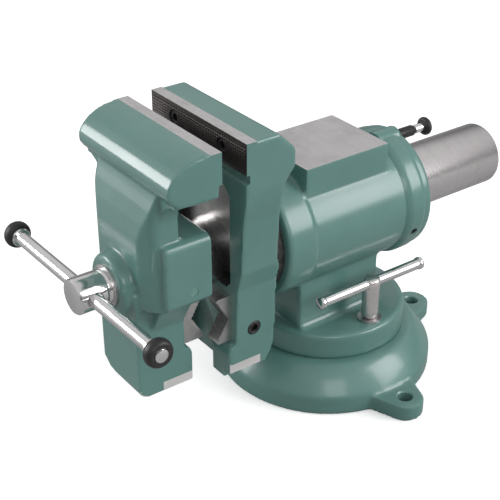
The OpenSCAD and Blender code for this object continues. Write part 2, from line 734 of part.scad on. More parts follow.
module guide_tube() {
  slot_front = -key_l / 2 - close_travel - 3;
  slot_rear = key_l / 2 + open_travel + 3;
  color([0.72, 0.69, 0.70]) difference() {
    union() {
      y_rod(tube_r, tube_front, tube_tail - 1, $fn = 96);
      y_rod(tube_r, tube_tail - 1, tube_tail, r2 = tube_r - 1, $fn = 96);
    }
    y_rod(tube_bore_r, tube_front - 1, tube_tail + 1, $fn = 96);
    translate([-key_w / 2 - gap, slot_front, axis_h - tube_r - 1])
      cube([key_w + 2 * gap, slot_rear - slot_front, tube_r]);
    for (s = [-1, 1]) x_rod(4, s > 0 ? tube_r - 5 : -tube_d, s > 0 ? tube_d : 5 - tube_r,
      tube_pin_y, axis_h);
  }
}

module tube_end_bush() {
  color(steel) difference() {
    y_rod(tube_bore_r, tube_tail - bush_l, tube_tail - 0.5);
    y_rod(tail_d / 2 + run, tube_tail - bush_l - 1, tube_tail + 1);
  }
}

// ------------------------------------------------------------------ main screw
module main_screw() {
  thread_front = -nut_l / 2 - close_travel - 12;
  thread_rear = nut_l / 2 + open_travel + 12;
  color(bright) difference() {
    union() {
      y_rod(hub_d / 2 - 1.5, hub_front, hub_front + 1.5, r2 = hub_d / 2);
      y_rod(hub_d / 2, hub_front + 1.5, hub_face - washer_t);
      y_rod(journal_d / 2, hub_face - washer_t - 1, thread_rear);
      y_rod(screw_d / 2, thread_front, thread_rear);
      y_rod(tail_d / 2, thread_rear - 1, tube_tail + 12);
    }
    translate([0, handle_y, axis_h]) rotate([0, handle_lean, 0])
      x_rod(handle_d / 2 + run, -hub_d, hub_d, 0, 0);
    translate([0, keeper_front + keeper_l / 2, 0]) cylinder(h = axis_h * 2, d = 5);
  }
}

module thrust_washer() {
  color(steel) difference() {
    y_rod(hub_d / 2 + 3, hub_face - washer_t, hub_face);
    y_rod(journal_d / 2 + run, hub_face - washer_t - 1, hub_face + 1);
  }
}

module retaining_collar() {
  y = keeper_front + keeper_l / 2;
  color(steel) difference() {
    y_rod(keeper_r, keeper_front, keeper_front + keeper_l);
    y_rod(journal_d / 2, keeper_front - 1, keeper_front + keeper_l + 1);
    translate([0, y, axis_h - tube_r]) cylinder(h = tube_d, d = 5);
  }
}

module collar_pin() {
  y = keeper_front + keeper_l / 2;
  color(black) translate([0, y, axis_h - keeper_r + 1]) cylinder(h = 2 * keeper_r - 2, d = 5);
}

// the handle leans a little, so its pieces are drawn level and tilted about the screw axis
module on_handle() {
  translate([0, handle_y, axis_h]) rotate([0, handle_lean, 0])
    translate([handle_shift, 0, 0]) children();
}

module handle_rod() {
  color(bright) on_handle() {
    x_rod(handle_d / 2, -handle_l / 2, handle_l / 2, 0, 0);
    for (s = [-1, 1]) x_rod(handle_d / 2 + 2.5, s > 0 ? handle_l / 2 - cap_l - 3
      : -handle_l / 2 + cap_l, s > 0 ? handle_l / 2 - cap_l : -handle_l / 2 + cap_l + 3, 0, 0);
  }
}

module handle_caps() {
  color(black) on_handle() for (s = [-1, 1]) mirror([s < 0 ? 1 : 0, 0, 0])
    translate([handle_l / 2 - cap_l, 0, 0]) rotate([0, 90, 0]) rotate_extrude()
      polygon([[handle_d / 2, 0], [cap_r - 2, 0], [cap_r, 2], [cap_r, cap_l - 3],
        [cap_r - 3, cap_l], [handle_d / 2, cap_l]]);
}

base_casting();
swivel_body();
clamp_ring();
right_lock_screw();
left_lock_screw();
right_lock_bar();
left_lock_bar();
lock_washers();
fixed_jaw();
thrust_ring();
rear_collar();
collar_set_screws();
plunger_sleeve();
plunger_spring();
plunger_pin();
plunger_knob();
main_nut();
nut_dowels();
fixed_insert();
fixed_insert_screws();
fixed_pipe_jaw();
fixed_pipe_jaw_screws();
movable_jaw();
guide_tube();
tube_pins();
movable_insert();
movable_insert_screws();
movable_pipe_jaw();
movable_pipe_jaw_screws();
tube_end_bush();
main_screw();
thrust_washer();
retaining_collar();
collar_pin();
handle_rod();
handle_caps();
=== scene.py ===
"""Looks of a revolving bench vise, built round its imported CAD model.

The castings and most outer pieces are modelled again with cast fillets, machined faces,
teeth and real edges; the others keep their CAD shape and get a finish.
"""

import json
import logging
import math
from dataclasses import dataclass
from enum import Enum
from typing import Callable, ClassVar, Sequence

import bpy
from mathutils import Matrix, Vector


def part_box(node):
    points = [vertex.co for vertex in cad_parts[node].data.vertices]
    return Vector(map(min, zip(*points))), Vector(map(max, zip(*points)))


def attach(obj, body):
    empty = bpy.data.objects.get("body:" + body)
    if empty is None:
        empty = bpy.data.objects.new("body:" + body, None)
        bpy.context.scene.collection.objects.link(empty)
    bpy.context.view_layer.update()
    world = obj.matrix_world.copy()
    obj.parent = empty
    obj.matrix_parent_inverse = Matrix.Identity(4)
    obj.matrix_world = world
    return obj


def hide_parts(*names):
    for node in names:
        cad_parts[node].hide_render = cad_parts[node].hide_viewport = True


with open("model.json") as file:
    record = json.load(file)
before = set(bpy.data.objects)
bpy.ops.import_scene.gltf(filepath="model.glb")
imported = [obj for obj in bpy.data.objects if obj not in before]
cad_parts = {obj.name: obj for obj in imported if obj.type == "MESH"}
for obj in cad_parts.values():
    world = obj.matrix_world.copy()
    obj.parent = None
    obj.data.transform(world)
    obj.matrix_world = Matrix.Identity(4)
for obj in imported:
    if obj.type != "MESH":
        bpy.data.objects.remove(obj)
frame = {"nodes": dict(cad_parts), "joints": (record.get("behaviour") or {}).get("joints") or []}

MM = 0.001
Pair = tuple[float, float]
Triple = tuple[float, float, float]
FacePick = Callable[[Vector, Vector], bool]

log = logging.getLogger("bench_vise")


class Plane(Enum):
    """Plane that an outline is drawn in; it is extruded square to that plane."""

    SIDE = "yz"
    FRONT = "xz"
    PLAN = "xy"

    def place(self, a: float, b: float, depth: float) -> Vector:
        """Point of an outline.

        Args:
            a: first coordinate in the plane, in millimetres.
            b: second coordinate in the plane.
            depth: distance along the plane's normal.

        Returns:
            The point in metres.
        """
        if self is Plane.SIDE:
            return Vector((depth, a, b)) * MM
        if self is Plane.FRONT:
            return Vector((a, depth, b)) * MM
        return Vector((a, b, depth)) * MM


class Axis(Enum):
    """Axis that a turned piece is spun about."""

    X = (1.0, 0.0, 0.0)
    Y = (0.0, 1.0, 0.0)
    Z = (0.0, 0.0, 1.0)

    def radial(self) -> Vector:
        """Direction in which a profile's radius is laid out."""
        return Vector((1, 0, 0)) if self is Axis.Z else Vector((0, 0, 1))


class Side(Enum):
    """Side of the middle plane, as the operator sees it."""

    LEFT = -1
    RIGHT = 1

    @property
    def label(self) -> str:
        """Word that the CAD nodes of this side begin with."""
        return self.name.lower()


def box_mm(node: str) -> tuple[Vector, Vector]:
    """Lowest and highest corner of a CAD node.

    Args:
        node: name of the CAD node.

    Returns:
        Both corners, in millimetres.
    """
    low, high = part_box(node)
    return low / MM, high / MM


def arc(cx: float, cy: float, r: float, start: float, end: float, steps: int = 8) -> list[Pair]:
    """Points along an arc.

    Args:
        cx: first coordinate of the centre.
        cy: second coordinate of the centre.
        r: radius.
        start: angle of the first point, in degrees.
        end: angle of the last point.
        steps: number of chords.

    Returns:
        The points, ends included.
    """
    turn = [math.radians(start + (end - start) * i / steps) for i in range(steps + 1)]
    return [(cx + r * math.cos(a), cy + r * math.sin(a)) for a in turn]


def mirrored(points: Sequence[Pair]) -> list[Pair]:
    """Half an outline followed by its mirror image across the middle plane."""
    return list(points) + [(-a, b) for a, b in reversed(points)]


# ---------------------------------------------------------------- modelling steps
def only(obj: bpy.types.Object) -> None:
    """Leaves object mode active with just this object selected.

    Args:
        obj: the object to work on.
    """
    if bpy.context.mode != "OBJECT":
        bpy.ops.object.mode_set(mode="OBJECT")
    bpy.ops.object.select_all(action="DESELECT")
    obj.select_set(True)
    bpy.context.view_layer.objects.active = obj


def clear_selection() -> None:
    """Deselects every object, so that an operator meets only the new primitive."""
    if bpy.context.mode != "OBJECT":
        bpy.ops.object.mode_set(mode="OBJECT")
    bpy.ops.object.select_all(action="DESELECT")


def settle(name: str) -> bpy.types.Object:
    """Names the new primitive and moves its place into its mesh.

    Args:
        name: name of the piece.

    Returns:
        The object, at the origin.
    """
    obj = bpy.context.object
    bpy.ops.object.transform_apply(location=True, rotation=True, scale=True)
    obj.name = name
    obj.data.name = name
    return obj


def chain(name: str, points: Sequence[Vector]) -> bpy.types.Object:
    """Draws a chain of edges from point to point and stays in edit mode.

    Args:
        name: name of the piece.
        points: the points in metres.

    Returns:
        The object, with its last vertex selected.
    """
    clear_selection()
    bpy.ops.mesh.primitive_plane_add(size=MM)
    obj = settle(name)
    bpy.ops.object.mode_set(mode="EDIT")
    bpy.ops.mesh.select_mode(type="VERT")
    bpy.ops.mesh.select_all(action="SELECT")
    bpy.ops.mesh.merge(type="CENTER")
    bpy.ops.transform.translate(value=points[0])
    for start, end in zip(points, points[1:]):
        bpy.ops.mesh.extrude_vertices_move(TRANSFORM_OT_translate={"value": end - start})
    return obj


def prism(name: str, plane: Plane, outline: Sequence[Pair], low: float,
          high: float) -> bpy.types.Object:
    """Fills an outline and extrudes it.

    Args:
        name: name of the piece.
        plane: plane of the outline.
        outline: its corners in millimetres.
        low: where the extrusion starts, along the plane's normal.
        high: where it ends.

    Returns:
        The closed block.
    """
    obj = chain(name, [plane.place(a, b, low) for a, b in outline])
    bpy.ops.mesh.select_all(action="SELECT")
    bpy.ops.mesh.edge_face_add()
    bpy.ops.mesh.extrude_region_move(
        TRANSFORM_OT_translate={"value": plane.place(0, 0, high - low)})
    bpy.ops.mesh.select_all(action="SELECT")
    bpy.ops.mesh.normals_make_consistent(inside=False)
    bpy.ops.object.mode_set(mode="OBJECT")
    return obj


def spun(name: str, profile: Sequence[Pair], centre: Triple, along: Vector, out: Vector,
         steps: int) -> bpy.types.Object:
    """Spins a profile about an axis of any direction, as on a lathe.

    Args:
        name: name of the piece.
        profile: corners as radius and station along the axis, in millimetres. It starts
            and ends on the axis, or is closed into a ring.
        centre: point on the axis at station zero, in millimetres.
        along: direction of the axis.
        out: direction square to it, in which the radius is laid out.
        steps: number of facets round the piece.

    Returns:
        The closed piece.
    """
    base = Vector(centre)
    closed = profile[0][0] > 0
    corners = list(profile) + [profile[0]] * closed
    obj = chain(name, [(base + along * t + out * r) * MM for r, t in corners])
    bpy.ops.mesh.select_all(action="SELECT")
    bpy.ops.mesh.spin(steps=steps, angle=math.tau, center=base * MM, axis=along)
    bpy.ops.mesh.select_all(action="SELECT")
    bpy.ops.mesh.remove_doubles(threshold=0.002 * MM)
    bpy.ops.mesh.normals_make_consistent(inside=False)
    bpy.ops.object.mode_set(mode="OBJECT")
    return obj


def turned(name: str, profile: Sequence[Pair], centre: Triple, axis: Axis = Axis.Y,
           steps: int = 64) -> bpy.types.Object:
    """Spins a profile about one of the three axes; see spun."""
    return spun(name, profile, centre, Vector(axis.value), axis.radial(), steps)


def rod(name: str, r: float, start: Triple, end: Triple, sides: int = 64) -> bpy.types.Object:
    """Plain round bar between two points, used as stock and as a drill.

    Args:
        name: name of the piece.
        r: radius in millimetres.
        start: centre of one end.
        end: centre of the other.
        sides: number of facets.

    Returns:
        The bar.
    """
    a, b = Vector(start) * MM, Vector(end) * MM
    clear_selection()
    bpy.ops.mesh.primitive_cylinder_add(
        vertices=sides, radius=r * MM, depth=(b - a).length, location=(a + b) / 2,
        rotation=(b - a).to_track_quat("Z", "Y").to_euler())
    return settle(name)


def block(name: str, low: Triple, high: Triple) -> bpy.types.Object:
    """Rectangular block between two corners, in millimetres."""
    a, b = Vector(low) * MM, Vector(high) * MM
    clear_selection()
    bpy.ops.mesh.primitive_cube_add(size=1, location=(a + b) / 2, scale=b - a)
    return settle(name)


def joined(name: str, parts: Sequence[bpy.types.Object]) -> bpy.types.Object:
    """Joins objects into the first and renames it.

    Args:
        name: name of the result.
        parts: the objects; all but the first are used up.

    Returns:
        The first object.
    """
    first = parts[0]
    only(first)
    for part in parts[1:]:
        part.select_set(True)
    if len(parts) > 1:
        bpy.ops.object.join()
    first.name = name
    first.data.name = name
    return first


def apply_modifier(obj: bpy.types.Object, kind: str, **settings: object) -> None:
    """Adds a modifier, sets it and applies it.

    Args:
        obj: object to change.
        kind: the modifier's type.
        **settings: values of its properties.
    """
    only(obj)
    modifier = obj.modifiers.new(kind.lower(), kind)
    for key, value in settings.items():
        setattr(modifier, key, value)
    bpy.ops.object.modifier_apply(modifier=modifier.name)


def combine(obj: bpy.types.Object, tool: bpy.types.Object, how: str) -> None:
    """Boolean of an object with a tool, which is used up.

    Args:
        obj: object to change.
        tool: closed mesh.
        how: DIFFERENCE, UNION or INTERSECT.
    """
    apply_modifier(obj, "BOOLEAN", operation=how, object=tool, solver="MANIFOLD")
    bpy.data.objects.remove(tool)


def cut(obj: bpy.types.Object, *tools: bpy.types.Object) -> None:
    """Machines tools out of an object, one after another."""
    for tool in tools:
        combine(obj, tool, "DIFFERENCE")


def cast(name: str, parts: Sequence[bpy.types.Object], voxel: float,
         rounds: int) -> bpy.types.Object:
    """Melts overlapping blocks into one casting with soft edges and fillets.

    Args:
        name: name of the piece.
        parts: closed blocks.
        voxel: size of the mesh, in millimetres.
        rounds: passes of smoothing.

    Returns:
        The casting.
    """
    obj = joined(name, parts)
    apply_modifier(obj, "REMESH", mode="VOXEL", voxel_size=voxel * MM, use_smooth_shade=True)
    apply_modifier(obj, "SMOOTH", factor=0.5, iterations=rounds)
    return obj


def coat(obj: bpy.types.Object, material: bpy.types.Material) -> None:
    """Gives one finish to the whole piece, in place of whatever slots it has.

    Args:
        obj: the piece.
        material: its finish.
    """
    mesh = obj.data
    mesh.materials.clear()
    mesh.materials.append(material)
    mesh.polygons.foreach_set("material_index", [0] * len(mesh.polygons))


def face_material(obj: bpy.types.Object, material: bpy.types.Material, wanted: FacePick) -> None:
    """Gives a finish to some faces.

    Args:
        obj: the piece.
        material: finish of those faces.
        wanted: tells by centre in millimetres and normal whether a face gets it.
    """
    only(obj)
    bpy.context.tool_settings.mesh_select_mode = (False, False, True)
    mesh = obj.data
    for group in (mesh.vertices, mesh.edges):
        group.foreach_set("select", [False] * len(group))
    mesh.polygons.foreach_set(
        "select", [wanted(p.center / MM, p.normal) for p in mesh.polygons])
    if material.name not in mesh.materials:
        mesh.materials.append(material)
    obj.active_material_index = mesh.materials.find(material.name)
    bpy.ops.object.mode_set(mode="EDIT")
    bpy.ops.object.material_slot_assign()
    bpy.ops.object.mode_set(mode="OBJECT")


def hand_over(obj: bpy.types.Object, body: str, nodes: Sequence[str],
              angle: float = 35.0) -> bpy.types.Object:
    """Smooths a finished piece and hangs it on the frame.

    Args:
        obj: the piece.
        body: CAD body that it rides on.
        nodes: CAD nodes that it stands for.
        angle: edges sharper than this stay crisp, in degrees.

    Returns:
        The piece.
    """
    only(obj)
    bpy.ops.object.shade_smooth_by_angle(angle=math.radians(angle))
    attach(obj, body)
    if nodes:
        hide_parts(*nodes)
    log.info("%s rides on %s, %d faces", obj.name, body, len(obj.data.polygons))
    return obj


# ---------------------------------------------------------------- finishes
def add_node(tree: bpy.types.NodeTree, kind: str, **settings: object) -> bpy.types.Node:
    """Adds a node and sets its properties and plain inputs.

    Args:
        tree: tree to add it to.
        kind: the node's type.
        **settings: properties by name, or inputs by socket name with spaces as underscores.

    Returns:
        The node.
    """
    node = tree.nodes.new(kind)
    for key, value in settings.items():
        if hasattr(node, key):
            setattr(node, key, value)
        else:
            node.inputs[key.replace("_", " ")].default_value = value
    return node


def mixed(tree: bpy.types.NodeTree, factor: bpy.types.NodeSocket, a: object,
          b: object) -> bpy.types.NodeSocket:
    """Colour between two others.

    Args:
        tree: tree of the nodes.
        factor: socket that says how much of the second colour is used.
        a: first colour, a socket or four numbers.
        b: second colour.

    Returns:
        The mixed colour's socket.
    """
    node = tree.nodes.new("ShaderNodeMix")
    node.data_type = "RGBA"
    tree.links.new(factor, node.inputs[0])
    for socket, colour in ((node.inputs[6], a), (node.inputs[7], b)):
        if isinstance(colour, bpy.types.NodeSocket):
            tree.links.new(colour, socket)
        else:
            socket.default_value = colour
    return node.outputs[2]


def mapped(tree: bpy.types.NodeTree, value: bpy.types.NodeSocket, low: float, high: float,
           to_low: float, to_high: float) -> bpy.types.NodeSocket:
    """Value stretched from one range to another and held inside it.

    Args:
        tree: the node tree.
        value: the socket to map.
        low: start of the range.
        high: end of the range.
        to_low: start of the new range.
        to_high: end of the new range.

    Returns:
        The socket that carries the result.
    """
    node = add_node(tree, "ShaderNodeMapRange")
    for key, number in (("From Min", low), ("From Max", high), ("To Min", to_low),
                        ("To Max", to_high)):
        node.inputs[key].default_value = number
    tree.links.new(value, node.inputs["Value"])
    return node.outputs["Result"]


def sum_of(tree: bpy.types.NodeTree, how: str, a: bpy.types.NodeSocket,
           b: object) -> bpy.types.NodeSocket:
    """Math node of two values; b is a socket or a number.

    Args:
        tree: the node tree.
        how: the operation of the Math node.
        a: the first value.
        b: the second value.

    Returns:
        The socket that carries the result.
    """
    node = add_node(tree, "ShaderNodeMath", operation=how)
    tree.links.new(a, node.inputs[0])
    if isinstance(b, bpy.types.NodeSocket):
        tree.links.new(b, node.inputs[1])
    else:
        node.inputs[1].default_value = b
    return node.outputs[0]


@dataclass(frozen=True)
class EffectGroup:
    """Shader node group with named sockets."""

    name: str
    inputs: tuple[tuple[str, str, object], ...]
    outputs: tuple[str, ...]

    def begin(self) -> tuple[bpy.types.NodeTree, bpy.types.Node, bpy.types.Node]:
        """Makes the empty group.

        Returns:
            The tree, its input node and its output node.
        """
        tree = bpy.data.node_groups.new(self.name, "ShaderNodeTree")
        for name, kind, value in self.inputs:
            socket = tree.interface.new_socket(name, in_out="INPUT", socket_type=kind)
            if value is not None:
                socket.default_value = value
        for name in self.outputs:
            tree.interface.new_socket(name, in_out="OUTPUT", socket_type="NodeSocketFloat")
        return tree, tree.nodes.new("NodeGroupInput"), tree.nodes.new("NodeGroupOutput")


class Effects:
    """The effects that more than one finish uses, each built once."""

    FLOAT = "NodeSocketFloat"
    VECTOR = "NodeSocketVector"

    def __init__(self) -> None:
        """Builds every group."""
        self.cast_grain = self._cast_grain()
        self.edge_wear_and_painted_light = self._edge_wear()
        self.grind_lines = self._grind_lines()
        self.dust = self._dust()

    def _noise(self, tree: bpy.types.NodeTree, vector: bpy.types.NodeSocket, scale: object,
               detail: float = 2.0, rough: float = 0.5) -> bpy.types.NodeSocket:
        """Noise value on a vector.

        Args:
            tree: tree of the nodes.
            vector: coordinates.
            scale: size of the pattern, a socket or a number.
            detail: octaves.
            rough: share of the finer octaves.

        Returns:
            The noise's value.
        """
        node = add_node(tree, "ShaderNodeTexNoise", Detail=detail, Roughness=rough)
        tree.links.new(vector, node.inputs["Vector"])
        if isinstance(scale, bpy.types.NodeSocket):
            tree.links.new(scale, node.inputs["Scale"])
        else:
            node.inputs["Scale"].default_value = scale
        return node.outputs[0]

    def _cast_grain(self) -> bpy.types.NodeTree:
        """Skin of a sand casting under paint: fine grain, soft waves and broad blotches.

        Returns:
            The node group.
        """
        tree, enter, leave = EffectGroup(
            "cast_grain",
            (("Vector", self.VECTOR, None), ("Grain Scale", self.FLOAT, 420.0),
             ("Wave Scale", self.FLOAT, 70.0)),
            ("Height", "Blotch")).begin()
        grain = self._noise(tree, enter.outputs[0], enter.outputs[1], 3.0, 0.55)
        wave = self._noise(tree, enter.outputs[0], enter.outputs[2], 2.0, 0.5)
        blotch = self._noise(tree, enter.outputs[0], 16.0, 3.0, 0.6)
        height = sum_of(tree, "ADD", sum_of(tree, "MULTIPLY", grain, 0.35),
                        sum_of(tree, "MULTIPLY", wave, 0.9))
        tree.links.new(height, leave.inputs[0])
        tree.links.new(mapped(tree, blotch, 0.3, 0.7, 0.0, 1.0), leave.inputs[1])
        return tree

    def _edge_wear(self) -> bpy.types.NodeTree:
        """Masks of convex edges and of concave places: edges carry scuffed paint and a painted
        highlight, concave places carry painted shade.

        Returns:
            The node group.
        """
        tree, enter, leave = EffectGroup(
            "edge_wear_and_painted_light",
            (("Vector", self.VECTOR, None), ("Break Scale", self.FLOAT, 240.0),
             ("Amount", self.FLOAT, 0.5)),
            ("Edge", "Hollow Shade")).begin()
        bend = add_node(tree, "ShaderNodeNewGeometry").outputs["Pointiness"]
        breaks = self._noise(tree, enter.outputs[0], enter.outputs[1], 4.0, 0.65)
        # Convex edges: scuffed paint together with a painted highlight that lightens them.
        edge = mapped(tree, bend, 0.52, 0.60, 0.0, 1.0)
        worn = sum_of(tree, "MULTIPLY", edge, mapped(tree, breaks, 0.42, 0.62, 0.15, 1.0))
        tree.links.new(sum_of(tree, "MULTIPLY", worn, enter.outputs[2]), leave.inputs[0])
        # Concave places: mask for painted shade in recesses and creases.
        tree.links.new(mapped(tree, bend, 0.42, 0.495, 1.0, 0.0), leave.inputs[1])
        return tree

    def _grind_lines(self) -> bpy.types.NodeTree:
        """Fine parallel lines of a grinder or a lathe, and stains across them.

        Returns:
            The node group.
        """
        tree, enter, leave = EffectGroup(
            "grind_lines",
            (("Vector", self.VECTOR, None), ("Stretch", self.VECTOR, (1.0, 1.0, 1.0)),
             ("Stain Scale", self.FLOAT, 40.0)),
            ("Height", "Tone", "Stain")).begin()
        stretch = add_node(tree, "ShaderNodeVectorMath", operation="MULTIPLY")
        tree.links.new(enter.outputs[0], stretch.inputs[0])
        tree.links.new(enter.outputs[1], stretch.inputs[1])
        lines = self._noise(tree, stretch.outputs[0], 1.0, 3.0, 0.7)
        broad = self._noise(tree, stretch.outputs[0], 0.2, 2.0, 0.5)
        stain = self._noise(tree, enter.outputs[0], enter.outputs[2], 4.0, 0.6)
        tree.links.new(lines, leave.inputs[0])
        tree.links.new(mapped(tree, broad, 0.3, 0.7, 0.0, 1.0), leave.inputs[1])
        tree.links.new(mapped(tree, stain, 0.45, 0.7, 0.0, 1.0), leave.inputs[2])
        return tree

    def _dust(self) -> bpy.types.NodeTree:
        """Mask of the thin dust that settles on faces that look up.

        Returns:
            The node group.
        """
        tree, enter, leave = EffectGroup(
            "dust", (("Vector", self.VECTOR, None), ("Patch Scale", self.FLOAT, 60.0)),
            ("Mask",)).begin()
        parts = add_node(tree, "ShaderNodeSeparateXYZ")
        tree.links.new(add_node(tree, "ShaderNodeNewGeometry").outputs["Normal"], parts.inputs[0])
        up = mapped(tree, parts.outputs["Z"], 0.5, 1.0, 0.0, 1.0)
        patch = mapped(tree, self._noise(tree, enter.outputs[0], enter.outputs[1], 4.0, 0.65),
                       0.4, 0.75, 0.0, 1.0)
        tree.links.new(sum_of(tree, "MULTIPLY", up, patch), leave.inputs[0])
        return tree


class Finish:
    """Start of a material: a Principled shader on Object coordinates."""

    def __init__(self, name: str) -> None:
        """Makes the bare material.

        Args:
            name: name of the material.
        """
        self.material = bpy.data.materials.new(name)
        self.material.use_nodes = True
        self.tree = self.material.node_tree
        self.shader = self.tree.nodes["Principled BSDF"]
        self.coords = add_node(self.tree, "ShaderNodeTexCoord").outputs["Object"]

    def effect(self, group: bpy.types.NodeTree, **values: object) -> bpy.types.Node:
        """Places an effect group.

        Args:
            group: the effect.
            **values: its inputs by name, with spaces as underscores.

        Returns:
            The group's node.
        """
        node = self.tree.nodes.new("ShaderNodeGroup")
        node.node_tree = group
        self.tree.links.new(self.coords, node.inputs["Vector"])
        for key, value in values.items():
            node.inputs[key.replace("_", " ")].default_value = value
        return node

    def feed(self, socket: str, value: bpy.types.NodeSocket) -> None:
        """Links a varying value to a socket of the shader."""
        self.tree.links.new(value, self.shader.inputs[socket])

    def fix(self, **values: object) -> None:
        """Sets constant sockets of the shader by name, with spaces as underscores."""
        for key, value in values.items():
            self.shader.inputs[key.replace("_", " ")].default_value = value

    def bump(self, height: bpy.types.NodeSocket, depth: float, strength: float) -> None:
        """Bump from a height.

        Args:
            height: the height's socket.
            depth: height of the relief in millimetres.
            strength: how much of it shows.
        """
        node = add_node(self.tree, "ShaderNodeBump", Strength=strength, Distance=depth * MM)
        self.tree.links.new(height, node.inputs["Height"])
        self.feed("Normal", node.outputs["Normal"])


def rgba(r: float, g: float, b: float) -> tuple[float, float, float, float]:
    """Opaque colour."""
    return (r, g, b, 1.0)


@dataclass(frozen=True)
class Enamel:
    """Grey-green gloss enamel sprayed on cast iron."""

    name: str = "gloss_enamel"
    base: Triple = (0.088, 0.200, 0.178)
    pale: Triple = (0.100, 0.220, 0.197)
    # Painted shade: the enamel darkened in recesses and creases.
    deep: Triple = (0.030, 0.078, 0.068)
    # Edge colour: scuffed paint and a painted highlight together.
    rubbed: Triple = (0.200, 0.330, 0.300)
    settled: Triple = (0.22, 0.28, 0.26)
    # How much of that edge colour shows: scuffed paint and painted highlight.
    worn: float = 0.5

    def build(self, fx: Effects) -> bpy.types.Material:
        """Builds the material from the shared effects.

        Args:
            fx: the shared effects.

        Returns:
            The material.
        """
        finish = Finish(self.name)
        tree = finish.tree
        grain = finish.effect(fx.cast_grain)
        wear = finish.effect(fx.edge_wear_and_painted_light, Amount=self.worn)
        dust = finish.effect(fx.dust)
        colour = mixed(tree, grain.outputs["Blotch"], rgba(*self.base), rgba(*self.pale))
        # Painted shade in recesses and creases.
        colour = mixed(tree, wear.outputs["Hollow Shade"], colour, rgba(*self.deep))
        # Lighter edges: scuffed paint and a painted highlight.
        colour = mixed(tree, wear.outputs["Edge"], colour, rgba(*self.rubbed))
        colour = mixed(tree, sum_of(tree, "MULTIPLY", dust.outputs["Mask"], 0.12), colour,
                       rgba(*self.settled))
        finish.feed("Base Color", colour)
        finish.feed("Roughness", mapped(tree, grain.outputs["Blotch"], 0.0, 1.0, 0.30, 0.40))
        finish.bump(grain.outputs["Height"], 0.5, 0.35)
        finish.fix(Coat_Weight=0.5, Coat_Roughness=0.16, Specular_IOR_Level=0.5)
        return finish.material


@dataclass(frozen=True)
class Steel:
    """Bare or plated steel whose grinding marks run one way."""

    name: str
    base: Triple
    shade: Triple
    stretch: Triple
    rough: Pair = (0.28, 0.42)
    relief: float = 0.02
    stained: float = 0.35

    def build(self, fx: Effects) -> bpy.types.Material:
        """Builds the material from the shared effects.

        Args:
            fx: the shared effects.

        Returns:
            The material.
        """
        finish = Finish(self.name)
        tree = finish.tree
        lines = finish.effect(fx.grind_lines, Stretch=self.stretch)
        wear = finish.effect(fx.edge_wear_and_painted_light, Amount=0.4)
        colour = mixed(tree, lines.outputs["Tone"], rgba(*self.base), rgba(*self.shade))
        stain = sum_of(tree, "MULTIPLY", lines.outputs["Stain"], self.stained)
        colour = mixed(tree, stain, colour, rgba(*(0.62 * c for c in self.shade)))
        # Lighter edges: scuffed metal and a painted highlight.
        rubbed = rgba(*(min(1, 1.2 * c) for c in self.base))
        colour = mixed(tree, wear.outputs["Edge"], colour, rubbed)
        finish.feed("Base Color", colour)
        finish.feed("Roughness", mapped(tree, lines.outputs["Tone"], 0.0, 1.0, *self.rough))
        finish.bump(lines.outputs["Height"], self.relief, 0.5)
        finish.fix(Metallic=1.0)
        return finish.material


@dataclass(frozen=True)
class DullCoat:
    """Dark coat with a fine grain: black oxide or moulded rubber."""

    name: str
    # pale is the edge colour: scuffed coat and a painted highlight.
    base: Triple
    pale: Triple
    rough: Pair
    metallic: float = 0.0
    grain_scale: float = 900.0

    def build(self, fx: Effects) -> bpy.types.Material:
        """Builds the material from the shared effects.

        Args:
            fx: the shared effects.

        Returns:
            The material.
        """
        finish = Finish(self.name)
        tree = finish.tree
        grain = finish.effect(fx.cast_grain, Grain_Scale=self.grain_scale, Wave_Scale=240.0)
        wear = finish.effect(fx.edge_wear_and_painted_light, Amount=0.5)
        colour = mixed(tree, grain.outputs["Blotch"], rgba(*self.base),
                       rgba(*(1.35 * c for c in self.base)))
        # Lighter edges: scuffed coat and a painted highlight.
        colour = mixed(tree, wear.outputs["Edge"], colour, rgba(*self.pale))
        finish.feed("Base Color", colour)
        finish.feed("Roughness", mapped(tree, grain.outputs["Blotch"], 0.0, 1.0, *self.rough))
        finish.bump(grain.outputs["Height"], 0.15, 0.4)
        finish.fix(Metallic=self.metallic)
        return finish.material


